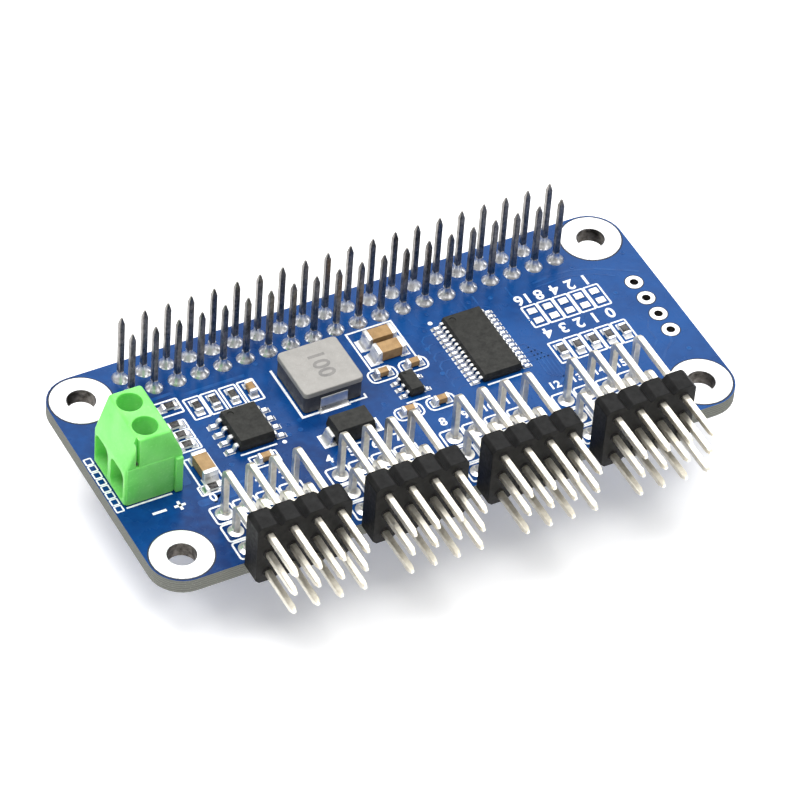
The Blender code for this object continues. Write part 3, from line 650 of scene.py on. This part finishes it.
def make_traces():
    """Copper runs and vias under the mask, as the photograph shows them or much like it."""
    traces = Piece("masked_copper_runs")

    def run(points, width, side=1):
        low, high = (ROOT, COPPER_TOP) if side > 0 else (-0.012 * MM, SUNK)
        line = [mm(*point) for point in points]
        traces.add(stroke(line, width * MM, False, low, high), MASKED_COPPER)

    def pour(x0, x1, y0, y1):
        outline = rounded_rectangle(mm(x0, y0), mm(x1, y1), 0.3 * MM)
        traces.add(prism(outline, ROOT, COPPER_TOP), MASKED_COPPER)

    for i in range(5):
        x = 15.4 + 0.42 * i
        run([(14.4, 0.6 - 0.62 * i), (x - 0.25, 0.6 - 0.62 * i), (x, 0.35 - 0.62 * i),
             (x, -4.2 - 0.25 * i), (x + 0.4, -4.7 - 0.25 * i)], 0.16)
    run([(20.2, 8.0), (22.4, 8.3), (24.6, 8.2), (27.2, 7.4), (29.2, 6.3), (31.2, 5.2)], 0.28)
    run([(20.2, 7.4), (23.9, 7.55), (26.8, 6.7), (28.6, 5.6)], 0.18)
    run([(29.6, -3.9), (29.2, -5.2), (27.9, -6.2), (27.1, -7.1)], 0.26)
    run([(28.7, -1.2), (27.9, -2.6), (27.9, -4.4), (26.4, -5.9)], 0.2)
    for i, (x, y) in enumerate(((6.2, 8.6), (7.1, 8.8), (12.3, 8.7), (13.7, 8.9), (17.4, 8.7))):
        run([(x, y), (x, 7.6 - 0.1 * i), (x + 0.9, 6.7)], 0.2)
    for i in range(7):
        y = 5.6 - 1.3 * i
        run([(7.3, y), (6.4, y), (5.9, y - 0.5), (5.9, y - 1.1)], 0.16)
    for i in range(4):
        x = -22.86 + 12.7 * i
        run([(x, -7.4), (x, -6.3), (x + 1.6, -5.1), (x + 6.0, -5.0)], 0.3)
        run([(x + 5.08, -7.4), (x + 5.08, -6.2), (x + 7.4, -4.6)], 0.18)
    run([(-24.4, 8.7), (-20.6, 8.8), (-19.8, 8.1), (-12.6, 8.1)], 0.4)
    pour(-24.6, -19.2, -6.6, -5.7)
    pour(-24.9, -23.9, -3.3, 6.9)
    for i in range(8):
        x = -20.3 + 5.08 * i
        run([(x, 8.7), (x, 5.0 + 0.3 * (i % 3)), (x + 1.1, 3.9)], 0.25, -1)
        run([(x + 2.5, -6.9), (x + 2.5, -2.0), (x + 1.1, -0.6), (x + 1.1, 3.2)], 0.25, -1)
    run([(-26.4, 1.9), (-24.8, 1.9), (-23.9, 1.0), (-23.9, -6.6)], 1.6, -1)
    traces.made("solder_mask")

    vias = Piece("tented_vias")
    spots = (
        (8.2, 8.4), (10.9, 7.6), (30.3, -6.8), (-10.9, 9.1), (15.3, 7.9), (6.9, 6.3), (5.9, 3.9),
        (5.7, 0.2), (6.1, -4.4), (5.3, -5.2), (13.4, -4.1), (17.3, 3.4), (16.2, 6.4),
        (-24.1, 0.1), (-10.9, -1.0), (-10.4, 0.2), (-11.7, 0.1), (-12.2, -1.2), (-3.1, 9.3),
        (-1.7, -1.2), (22.6, -4.6), (19.3, -4.9), (27.4, 3.3), (31.0, 8.3), (-9.2, -6.4),
        (3.9, -5.9), (-18.2, -4.9), (-19.3, -2.6), (25.1, 8.4), (12.9, 8.2),
    )
    low, high = -0.03 * MM, BOARD_TOP + 0.03 * MM
    for spot in spots:
        for base, tip in ((SUNK, low), (ROOT, high)):
            middle = (base + tip) / 2
            profile = (
                (0, base), (0.29 * MM, base), (0.26 * MM, tip), (0.13 * MM, tip),
                (0.09 * MM, middle), (0, middle),
            )
            vias.add(lathe(profile, 14, mm(*spot)), MASKED_COPPER)
    vias.made("solder_mask")


JUMPER_X, JUMPER_PITCH = 18.25, 1.81  # millimetres


def make_silkscreen():
    outlines = Piece("silkscreen_outlines")

    def line(points, width=0.2):
        outlines.add(stroke([mm(*point) for point in points], width * MM), SILK)

    def frame_of(x0, x1, y0, y1, radius=0.12, width=0.19):
        points = rounded_rectangle(mm(x0, y0), mm(x1, y1), radius * MM)
        outlines.add(stroke(points, width * MM, True), SILK)

    def dot(x, y, radius):
        radius *= MM
        profile = ((0, ROOT), (radius, ROOT), (radius, SILK_TOP), (0, SILK_TOP))
        outlines.add(lathe(profile, 18, mm(x, y)), SILK)

    # round the parts on the terminal's side of the inductor
    for x0, x1 in ((-19.8, -18.1), (-17.9, -16.2), (-15.85, -14.15), (-13.85, -12.15)):
        frame_of(x0, x1, 4.4, 7.4)
    frame_of(-23.0, -20.3, 6.0, 8.0)
    for y in (4.35, 2.9, 1.45):
        frame_of(-23.55, -20.85, y - 0.66, y + 0.66)
    frame_of(-23.75, -21.05, -5.3, -4.1)
    line([(-23.4, -4.1), (-23.4, -0.2), (-20.8, -0.2), (-20.8, -4.1)])
    frame_of(-17.4, -14.5, -4.1, -2.5)
    line([(-17.9, -1.85), (-13.9, -1.85)])
    dot(-13.1, -1.9, 0.24)
    # inductor and diode
    line([(-9.95, 7.6), (-9.95, 0.35), (-8.1, 0.35)], 0.26)
    line([(-4.7, 0.35), (-2.85, 0.35), (-2.85, 0.9)])
    line([(-2.85, 6.9), (-2.85, 7.6), (-4.4, 7.6)])
    line([(-8.4, -1.95), (-4.8, -1.95)])
    line([(-8.4, -5.05), (-4.8, -5.05)])
    # output capacitors
    line([(4.4, 3.5), (4.4, 9.1), (-0.7, 9.1), (-0.7, 3.5), (1.0, 3.5)])
    # small round-ended outlines
    for x, y in ((0.1, 2.5), (3.6, 2.5), (0.1, -3.3), (3.7, -3.3)):
        frame_of(x - 1.5, x + 1.5, y - 0.85, y + 0.85, 0.6)
    line([(0.4, -2.1), (3.1, -2.1)])
    # pulse controller
    line([(9.1, -3.1), (13.0, -3.1)])
    line([(9.1, 6.75), (13.0, 6.75)])
    dot(7.9, 7.1, 0.26)
    # address jumpers and their resistors
    for i in range(5):
        x = JUMPER_X + JUMPER_PITCH * i
        frame_of(x - 0.82, x + 0.82, 2.2, 5.3)
        frame_of(x - 0.82, x + 0.82, -3.45, -0.4)
    # terminal
    line([(-31.2, -3.72), (-26.3, -3.72)])
    for i in range(8):
        y = -3.5 + i
        frame_of(-32.3, -31.55, y - 0.4, y + 0.4, 0.06, 0.15)
    line([(-29.25, -5.5), (-27.75, -5.5)], 0.3)
    line([(-26.9, -5.5), (-25.7, -5.5)], 0.3)
    line([(-26.3, -6.1), (-26.3, -4.9)], 0.3)
    # a box round each servo pad
    for number in range(1, 5):
        for x in servo_columns(number):
            for y in SERVO_ROW_Y:
                low, high = (x - 1.17 * MM, y - 1.17 * MM), (x + 1.13 * MM, y + 1.13 * MM)
                box = rounded_rectangle(low, high, 0.3 * MM)
                outlines.add(stroke(box, 0.2 * MM, True), SILK)
    outlines.made("silkscreen")

    figures = Piece("silkscreen_numbers")
    for channel in range(16):
        x = servo_columns(channel // 4 + 1)[channel % 4]
        size = (1.5 if channel < 10 else 1.35) * MM
        figures.add(lettering(str(channel), size, (x, -5.9 * MM)), SILK)
    for i in range(5):
        x = (JUMPER_X + JUMPER_PITCH * (4 - i)) * MM
        figures.add(lettering(str(i), 1.95 * MM, (x, 1.1 * MM), 180), SILK)
        figures.add(lettering(str(2 ** i), 1.95 * MM, (x, 6.4 * MM), 180), SILK)
    figures.made("silkscreen")


def make_jumper_pads():
    pads = Piece("address_jumper_pads")
    for i in range(5):
        x = (JUMPER_X + JUMPER_PITCH * i) * MM
        for y in (4.45 * MM, 3.0 * MM):
            shape = block(
                (x - 0.5 * MM, y - 0.42 * MM, ROOT),
                (x + 0.5 * MM, y + 0.42 * MM, BOARD_TOP + 0.12 * MM), 0.06 * MM, 3,
            )
            pads.add(shape, SOLDER)
    pads.made("solder")


# ---------------- headers

def make_stacking_header():
    low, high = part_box("stacking_header")
    mouth = low.z
    housing_low = (low.x, HEADER_Y - 2.5 * MM, mouth)
    housing_high = (high.x, HEADER_Y + 2.5 * MM, -0.06 * MM)
    places = header_places()

    housing = Piece("stacking_socket")
    funnels = bmesh.new()
    for place in places:
        x, y, _ = place.translation
        rings = []
        for half, z in ((0.8, -0.2), (0.62, 0.0), (0.36, 0.42), (0.36, 6.0)):
            corners = square(x, y, half * MM, half * MM)
            rings.append([
                funnels.verts.new((*corner, mouth + z * MM)) for corner in corners
            ])
        skin(funnels, rings)
    shape = carve(block(housing_low, housing_high, 0.14 * MM), funnels)
    housing.add(shape, HEADER_PLASTIC)
    for side in (-1, 1):
        leaf = block(
            (-0.22 * MM, side * 0.35 * MM - 0.04 * MM, mouth + 0.75 * MM),
            (0.22 * MM, side * 0.35 * MM + 0.04 * MM, mouth + 6.1 * MM), 0.02 * MM, 1,
        )
        housing.add(leaf, BRASS, places)
    housing.made("header_plastic", ["stacking_header"])

    pins = Piece("stacking_pins")
    width = 0.92 * PIN_SIDE
    path = [(0, 0, high.z), (0, 0, -1.2 * MM)]
    pin = bar(path, (1, 0, 0), width, width, 0.08 * MM, 0.8 * MM, 0.3)
    pins.add(pin, HEADER_PIN_METAL, places)
    pins.made("pin_metal", ["stacking_header"])

    joints = Piece("stacking_solder_joints")
    cone = solder_cone(0.93 * MM, BOARD_TOP, 1.15 * MM, 0.37 * MM)
    joints.add(cone, SOLDER, [uneven(place, i) for i, place in enumerate(places)])
    joints.made("solder", sharp=60)


def servo_outline(left, bottom, top):
    """Front outline of four joined cells with cut corners, as (x, z) points."""
    width, corner, notch = 4 * PITCH, 0.4 * MM, 0.48 * MM
    edge = [(0, corner), (corner, 0)]
    for i in range(1, 4):
        x = i * PITCH
        edge += [(x - notch, 0), (x, notch), (x + notch, 0)]
    edge += [(width - corner, 0), (width, corner)]
    below = [(left + x, bottom + z) for x, z in edge]
    return below + [(left + x, top - z) for x, z in edge[::-1]]


def make_servo_header(number):
    node = f"servo_header_{number}"
    low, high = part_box(node)
    columns = servo_columns(number)
    top = SERVO_ROW_Z[0] + PITCH / 2
    outline = servo_outline(columns[0] - PITCH / 2, top - 3 * PITCH, top)

    housing = Piece(f"servo_block_{number}")
    shape = prism(outline, -SERVO_BLOCK_BACK, -SERVO_BLOCK_FRONT)
    round_edges(shape, shape.edges, 0.09 * MM)
    bmesh.ops.transform(shape, matrix=UPRIGHT, verts=shape.verts)
    housing.add(shape, HEADER_PLASTIC)
    for y, out in ((SERVO_BLOCK_FRONT, -1), (SERVO_BLOCK_BACK, 1)):
        for z in SERVO_ROW_Z:
            collar = lathe([mm(0.36, 0), mm(0.62, 0), mm(0.56, 0.1), mm(0.42, 0.1)], 16)
            outwards = Matrix.Rotation(math.radians(90 * -out), 4, "X")
            places = [at(x, y - out * 0.02 * MM, z) @ outwards for x in columns]
            housing.add(collar, HEADER_PLASTIC, places)
    housing.made("header_plastic", [node])

    pins = Piece(f"servo_pins_{number}")
    for y, z in zip(SERVO_ROW_Y, SERVO_ROW_Z):
        path = rounded_path([(0, low.y, z), (0, y, z), (0, y, low.z)], 0.7 * MM, 5)
        pin = bar(path, (1, 0, 0), PIN_SIDE, PIN_SIDE, 0.06 * MM, 0.55 * MM, 0.5)
        pins.add(pin, SERVO_PIN_METAL, [at(x) for x in columns])
    pins.made("pin_metal", [node])

    joints = Piece(f"servo_solder_joints_{number}")
    spots = [at(x, y) for x in columns for y in SERVO_ROW_Y]
    places = [uneven(spot, 12 * number + i) for i, spot in enumerate(spots)]
    joints.add(solder_cone(0.88 * MM, BOARD_TOP, 0.34 * MM, 0.4 * MM), SOLDER, places)
    joints.add(solder_cone(0.9 * MM, 0, 0.95 * MM, 0.38 * MM, -1), SOLDER, places)
    joints.made("solder", sharp=60)


# ---------------- soldered parts

SMALL_PARTS = sorted(name for name in NODES if "capacitor" in name or "_resistor" in name)


def fillet(reach, width, height):
    """A solder fillet that climbs from the pad to the part at x = 0, standing on z = 0."""
    steps, lift, inside = 5, 0.02 * MM, -0.02 * MM
    outline = [(inside, 0), (reach, 0)]
    for i in range(steps, 0, -1):
        outline.append((reach * i / steps, height * (1 - i / steps) ** 2 + lift))
    outline.append((inside, height))
    pull = 0.86  # of its reach, above the pad
    bm = bmesh.new()
    return skin(bm, [
        [bm.verts.new((x * (pull if z > 0 else 1), side * width / 2, z)) for x, z in outline]
        for side in (-1, 1)
    ])


def flat_pad(low, high, bevel=0.02 * MM, drop=0.0):
    """A soldering pad between two plan corners, drop metres below the board's frame."""
    return block((*low, ROOT - drop), (*high, PAD_TOP - drop), bevel, 1)


def make_small_parts():
    pads = Piece("small_part_solder")
    for name in SMALL_PARTS:
        low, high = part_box(name)
        size, centre = high - low, (low + high) / 2
        length, width, height = max(size.x, size.y), min(size.x, size.y), size.z
        turn = math.radians(90) if size.y > size.x else 0.0
        place = at(centre.x, centre.y, low.z, turn)
        large = length > 3 * MM
        cap = (0.5 if large else 0.34) * MM
        capacitor = "capacitor" in name

        piece = Piece(name + "_part")
        inset = 0.035 * MM  # of the ceramic behind the metal ends
        core_length, core_width, core_height = (v - 2 * inset for v in (length, width, height))
        bevel = min(0.08 * MM, height * 0.12)
        if capacitor:
            body = box_at((0, 0, inset), (core_length, core_width, core_height), bevel)
            piece.add(body, CAPACITOR_BODY, [place])
        else:
            size = (core_length, core_width, core_height - 0.05 * MM)
            piece.add(box_at((0, 0, inset), size, 0.02 * MM), ALUMINA, [place])
            size = (length - 1.7 * cap, width - 0.04 * MM, 0.11 * MM)
            glaze = box_at((0, 0, height - 0.12 * MM), size, 0.035 * MM)
            piece.add(glaze, RESISTOR_GLAZE, [place])
        for side in (-1, 1):
            end = box_at((side * (length - cap) / 2, 0, 0), (cap, width, height), bevel)
            piece.add(end, LEAD_METAL, [place])
        piece.made("capacitor_ceramic" if capacitor else "resistor_ceramic", [name])

        reach, margin = (0.42 if large else 0.3) * MM, width / 2 + 0.08 * MM
        for turn in (0, math.pi):
            there = place @ at(turn=turn)
            low_corner = (length / 2 - cap - 0.1 * MM, -margin)
            high_corner = (length / 2 + reach + 0.06 * MM, margin)
            pads.add(flat_pad(low_corner, high_corner, drop=low.z), PLATED_PAD, [there])
            shape = fillet(reach, width * 0.94, height * 0.62)
            pads.add(shape, SOLDER, [there @ at(length / 2, z=PAD_TOP - low.z)])
    # the empty pads beside the output capacitors
    for y in (7.0, 4.8):
        pads.add(flat_pad(mm(-0.45, y - 0.85), mm(0.55, y + 0.85)), PLATED_PAD)
    pads.made("solder")


PWM_ROWS = [row - 6.5 for row in range(14)]
POWER_ROWS = [-1.5, -0.5, 0.5, 1.5]
CHIPS = {  # centre, body, span, pitch, lead width and thickness, left rows, right rows
    "pwm_controller_chip": (
        (11.0, 1.87), (4.4, 9.3, 1.0), 6.4, 0.65, (0.35, 0.14), PWM_ROWS, PWM_ROWS,
    ),
    "power_regulator_chip": (
        (-15.9, 0.85), (3.9, 4.8, 1.45), 6.2, 1.27, (0.5, 0.22), POWER_ROWS, POWER_ROWS,
    ),
    "logic_regulator_chip": (
        (1.9, -0.2), (1.6, 2.9, 1.05), 2.9, 0.95, (0.4, 0.14), [-1, 0, 1], [-1, 1],
    ),
}


def moulded_body(centre, size, base, draft, bevel):
    """A resin body that narrows both ways from its parting line, its top and corners rounded."""
    height = size[2]
    bm = bmesh.new()
    rings = []
    for share, inset in ((0, draft * 0.8), (0.45, 0), (0.5, 0), (1, draft)):
        corners = square(*centre, size[0] / 2 - inset, size[1] / 2 - inset)
        rings.append([bm.verts.new((*corner, base + share * height)) for corner in corners])
    skin(bm, rings)
    heights = [(edge, *(vert.co.z for vert in edge.verts)) for edge in bm.edges]
    edges = [e for e, z0, z1 in heights if abs(z0 - z1) > 1e-6 or z0 > base + height - 1e-6]
    round_edges(bm, edges, bevel)
    return bm


def make_chip(name):
    centre, body, span, pitch, lead, *sides = CHIPS[name]
    x, y = centre = mm(*centre)
    width, length, height = mm(*body)
    span, pitch, lead_width, thickness = mm(span, pitch, *lead)
    base = SOLDER_LEVEL + 0.05 * MM
    top = base + height
    piece = Piece(name + "_part")
    shape = moulded_body(centre, (width, length, height), base, 0.12 * MM, 0.05 * MM)
    radius = min(0.4 * MM, width * 0.11)
    inset = 0.2 * MM + 1.6 * radius
    profile = (
        (0, top - 0.13 * MM), (radius * 0.85, top - 0.11 * MM), (radius, top + 0.1 * MM),
        (0, top + 0.1 * MM),
    )
    dimple = lathe(profile, 20, (x - width / 2 + inset, y + length / 2 - inset))
    piece.add(carve(shape, dimple), CHIP_RESIN)
    shoulder, foot = base + height * 0.45, SOLDER_LEVEL + thickness / 2
    knee = width / 2 + (span - width) * 0.14
    ankle = span / 2 - (span - width) * 0.3
    path = rounded_path(
        [(width / 2 - 0.1 * MM, 0, shoulder), (knee, 0, shoulder), (ankle, 0, foot),
         (span / 2, 0, foot)], 0.9 * thickness, 3,
    )
    places = []
    for turn, rows in zip((math.pi, 0), sides):
        places += [at(x, y, turn=turn) @ at(y=row * pitch) for row in rows]
    shape = bar(path, (0, 1, 0), lead_width, thickness, thickness * 0.15)
    piece.add(shape, LEAD_METAL, places)
    piece.made("chip_resin", [name])

    solder = Piece(name + "_solder")
    half = lead_width * 0.62
    pad = flat_pad((ankle - 0.15 * MM, -half), (span / 2 + 0.32 * MM, half), 0.015 * MM)
    solder.add(pad, PLATED_PAD, places)
    toe = fillet(0.26 * MM, lead_width * 1.15, thickness * 1.4)
    solder.add(toe, SOLDER, [place @ at(span / 2, z=PAD_TOP) for place in places])
    heel = fillet(0.12 * MM, lead_width, thickness)
    solder.add(heel, SOLDER, [place @ at(ankle, z=PAD_TOP, turn=math.pi) for place in places])
    solder.made("solder")


def make_diode():
    low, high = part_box("rectifier_diode")
    centre = (low + high) / 2
    base = low.z + 0.1 * MM
    half = 2.15 * MM
    size = (2 * half, high.y - low.y, high.z - base)
    piece = Piece("rectifier_diode_part")
    body = moulded_body(centre[:2], size, base, 0.15 * MM, 0.07 * MM)
    piece.add(body, CHIP_RESIN)
    out, upper, lower = half + 0.29 * MM, base + 0.9 * MM, low.z + 0.11 * MM
    path = rounded_path(
        [(half - 0.2 * MM, 0, upper), (out, 0, upper), (out, 0, lower),
         (half - 0.9 * MM, 0, lower)], 0.2 * MM, 4,
    )
    places = [at(centre.x, centre.y, turn=turn) for turn in (0, math.pi)]
    piece.add(bar(path, (0, 1, 0), 1.45 * MM, 0.22 * MM, 0.03 * MM), LEAD_METAL, places)
    piece.made("chip_resin", ["rectifier_diode"])
    solder = Piece("rectifier_diode_solder")
    pad = flat_pad((half - 1.1 * MM, -0.95 * MM), (half + 1.15 * MM, 0.95 * MM))
    solder.add(pad, PLATED_PAD, places)
    shape = fillet(0.55 * MM, 1.5 * MM, 0.7 * MM)
    solder.add(shape, SOLDER, [p @ at(half + 0.4 * MM, z=PAD_TOP) for p in places])
    solder.made("solder")


def make_inductor():
    low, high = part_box("power_inductor")
    centre = (low + high) / 2
    half_x, half_y = 3.3 * MM, 3.25 * MM
    base, top = low.z + 0.08 * MM, high.z
    middle = at(centre.x, centre.y)
    outline = rounded_rectangle((-half_x, -half_y), (half_x, half_y), 0.45 * MM, 4)
    piece = Piece("power_inductor_part")
    skirt = [(0.985 * x, 0.985 * y) for x, y in outline]
    piece.add(prism(skirt, base, top - 0.2 * MM), INDUCTOR_SIDE, [middle])
    lid = prism(outline, top - 0.62 * MM, top)
    upper = [e for e in lid.edges if all(abs(v.co.z - top) < 1e-9 for v in e.verts)]
    round_edges(lid, upper, 0.14 * MM, 3)
    piece.add(lid, INDUCTOR_TOP, [middle])
    figures = lettering("100", 2.5 * MM, mm(0.1, 0.1), -90, 0.008 * MM, top)
    piece.add(figures, INDUCTOR_MARK, [middle])
    places = [at(centre.x, centre.y, turn=turn) for turn in (0, math.pi)]
    foot = low.z + 0.06 * MM
    path = rounded_path(
        [(0, -half_y + 0.02 * MM, base + 1.55 * MM), (0, -half_y - 0.02 * MM, base + 1.5 * MM),
         (0, -half_y - 0.02 * MM, foot), (0, -half_y + 0.9 * MM, foot)], 0.12 * MM, 3,
    )
    piece.add(bar(path, (1, 0, 0), 3.0 * MM, 0.11 * MM, 0.02 * MM), LEAD_METAL, places)
    rib = block(
        (-1.0 * MM, -half_y - 0.078 * MM, base + 0.45 * MM),
        (1.0 * MM, -half_y + 0.1 * MM, base + 1.15 * MM), 0.05 * MM,
    )
    piece.add(rib, LEAD_METAL, places)
    piece.made("ferrite", ["power_inductor"])
    solder = Piece("power_inductor_solder")
    pad = flat_pad((-1.7 * MM, -half_y - 0.55 * MM), (1.7 * MM, -half_y + 1.3 * MM))
    solder.add(pad, PLATED_PAD, places)
    shape = fillet(0.42 * MM, 2.9 * MM, 0.55 * MM)
    toe = at(0, -half_y - 0.07 * MM, PAD_TOP, -math.pi / 2)
    solder.add(shape, SOLDER, [place @ toe for place in places])
    solder.made("solder")


# ---------------- screw terminal

def soften(node, material, width, angle=30):
    """Gives a CAD node its material and rounds its edges as it is drawn."""
    obj = NODES[node]
    obj.data.materials.clear()
    obj.data.materials.append(material)
    for polygon in obj.data.polygons:
        polygon.use_smooth = True
    merge = obj.modifiers.new("merge", "WELD")
    merge.merge_threshold = 1e-7
    join = obj.modifiers.new("join flat faces", "DECIMATE")
    join.decimate_type, join.angle_limit = "DISSOLVE", math.radians(1)
    rounded = obj.modifiers.new("rounded edges", "BEVEL")
    rounded.width, rounded.segments = width, 3
    rounded.limit_method, rounded.angle_limit = "ANGLE", math.radians(angle)
    rounded.harden_normals = True


TERMINAL_SIDE = (  # (x, height above the board) of the block seen from its end
    (-31.4, 0.05), (-25.1, 0.05), (-25.1, 5.0), (-26.5, 8.6), (-29.95, 8.6), (-31.4, 4.6),
)
POLE_X = -28.5 * MM
POLES = (-1.75 * MM, 1.75 * MM)


def make_terminal_housing():
    """The green block with soft edges, hollow where the clamps rise and the screws stand."""
    half_width = 3.5 * MM
    outline = [(x * MM, BOARD_TOP + z * MM) for x, z in TERMINAL_SIDE]
    shape = prism(outline, -half_width, half_width)
    round_edges(shape, shape.edges, 0.27 * MM, 4)
    bmesh.ops.triangulate(shape, faces=shape.faces)
    bmesh.ops.transform(shape, matrix=UPRIGHT, verts=shape.verts)
    slot = block(mm(-30.22, -4, 6.55), mm(-29.8, -2.85, 10.1))
    joint = block(mm(-25.9, 3.15, 0), mm(-24.8, 4, 6.4))
    for cutter in (slot, joint):
        shape = carve(shape, cutter)
    rib = block(mm(-26.0, -3.85, 1.66), mm(-25.2, -3.3, 6.3), 0.12 * MM, 3)
    apron = block(mm(-31.15, -3.56, 1.72), mm(-26.1, -3.3, 6.5), 0.05 * MM)
    for added in (rib, apron):
        shape = carve(shape, added, "UNION")
    floor, lintel = BOARD_TOP + 0.45 * MM, BOARD_TOP + 4.3 * MM
    roof, top = BOARD_TOP + 5.12 * MM, BOARD_TOP + 8.6 * MM
    neck, bore, ledge, above = mm(1.02, 1.25, 6.95, 11)
    clamp_front, clamp_back, end = POLE_X - 1.6 * MM, POLE_X + 1.6 * MM, -26.0 * MM
    for y in POLES:
        low_y, high_y = y - 1.45 * MM, y + 1.45 * MM
        well = (
            (0, roof - 0.3 * MM), (neck, roof - 0.3 * MM), (neck, ledge), (bore, ledge),
            (bore, top - 0.2 * MM), (1.3 * MM, top - 0.07 * MM), (1.42 * MM, top + 0.01 * MM),
            (1.42 * MM, above), (0, above),
        )
        mouth_plan = rounded_rectangle((low_y, floor), (high_y, lintel), 0.85 * MM, 7)
        mouth = prism(mouth_plan, -31.8 * MM, POLE_X - 1.5 * MM)
        to_end = Matrix(((0, 0, 1, 0), (1, 0, 0, 0), (0, 1, 0, 0), (0, 0, 0, 1)))
        bmesh.ops.transform(mouth, matrix=to_end, verts=mouth.verts)
        chamber = block((clamp_front, low_y, floor), (end, high_y, lintel))
        shaft = block((clamp_front, low_y, floor), (clamp_back, high_y, roof))
        contact_slot = block(
            (-26.8 * MM, y - 0.5 * MM, 0), (-26.05 * MM, y + 0.5 * MM, floor + 0.2 * MM)
        )
        for cutter in (lathe(well, 40, (POLE_X, y)), mouth, chamber, shaft, contact_slot):
            shape = carve(shape, cutter)
    piece = Piece("terminal_block")
    piece.add(shape, TERMINAL_PLASTIC)
    piece.made("terminal_plastic", ["terminal_housing"])


def dress_terminal():
    make_terminal_housing()
    for i in (1, 2):
        soften(f"terminal_screw_{i}", STEEL, 0.03 * MM, 40)
        soften(f"wire_clamp_{i}", STEEL, 0.06 * MM)
        soften(f"terminal_contact_{i}", BRASS, 0.04 * MM)
    joints = Piece("terminal_solder_joints")
    for i in range(2):
        low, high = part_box(f"terminal_contact_{i + 1}")
        place = at(high.x - 0.325 * MM, (low.y + high.y) / 2)
        cone = solder_cone(1.25 * MM, 0, 1.5 * MM, 0.6 * MM, -1)
        joints.add(cone, SOLDER, [uneven(place, i)])
    joints.made("solder", sharp=60)


# ---------------- studio

def make_studio():
    low, _ = CAD_BOX
    bpy.ops.mesh.primitive_plane_add(size=6, location=(0, 0, low.z))
    floor = bpy.context.object
    floor.name = "studio_floor"
    white = (1, 1, 1, 1)
    look = Look(
        "studio_floor", (0.93, 0.93, 0.93), 0.75, Emission_Color=white, Emission_Strength=0.24
    )
    shade = look.noise(80 * MM, 2)
    look.paint(shade, (0.92, 0.92, 0.92), (0.94, 0.94, 0.94))
    floor.data.materials.append(look.material)

    world = bpy.data.worlds.new("studio")
    bpy.context.scene.world = world
    world.use_nodes = True
    background = world.node_tree.nodes["Background"]
    background.inputs["Color"].default_value = (0.97, 0.98, 1.0, 1)
    background.inputs["Strength"].default_value = 0.32

    lamps = (  # name, place in metres, size and power; each is aimed at the origin
        ("overhead", (-0.06, -0.02, 0.6), 0.42, 4.4),
        ("rear softbox", (0.26, 0.38, 0.4), 0.36, 1.15),
        ("key", (-0.38, 0.1, 0.4), 0.22, 0.7),
        ("fill", (0.3, -0.42, 0.3), 0.3, 0.35),
    )
    for name, place, size, power in lamps:
        data = bpy.data.lights.new(name, "AREA")
        data.size, data.energy = size, power
        lamp = bpy.data.objects.new(name, data)
        lamp.location = place
        lamp.rotation_euler = (-Vector(place)).to_track_quat("-Z", "Y").to_euler()
        bpy.context.scene.collection.objects.link(lamp)


def make_camera():
    """The photograph's viewing angle and framing."""
    data = bpy.data.cameras.new("camera")
    data.sensor_width, data.lens = 36, 225.9
    data.shift_x, data.shift_y = -0.0061, -0.0043
    data.clip_start, data.clip_end = 0.01, 20
    camera = bpy.data.objects.new("camera", data)
    place = Vector((-182.27, -306.66, 354.57)) * MM
    target = Vector((0.71, -1.15, 1.6)) * MM
    aim = (target - place).to_track_quat("-Z", "Y").to_matrix()
    camera.location = place
    camera.rotation_euler = (aim @ Matrix.Rotation(math.radians(4.79), 3, "Z")).to_euler()
    bpy.context.scene.collection.objects.link(camera)
    bpy.context.scene.camera = camera


dress_board()
make_traces()
make_silkscreen()
make_jumper_pads()
make_stacking_header()
for number in range(1, 5):
    make_servo_header(number)
make_small_parts()
for name in CHIPS:
    make_chip(name)
make_diode()
make_inductor()
dress_terminal()
make_studio()
make_camera()
bpy.context.scene.view_settings.view_transform = "Standard"
bpy.context.scene.view_settings.look = "None"
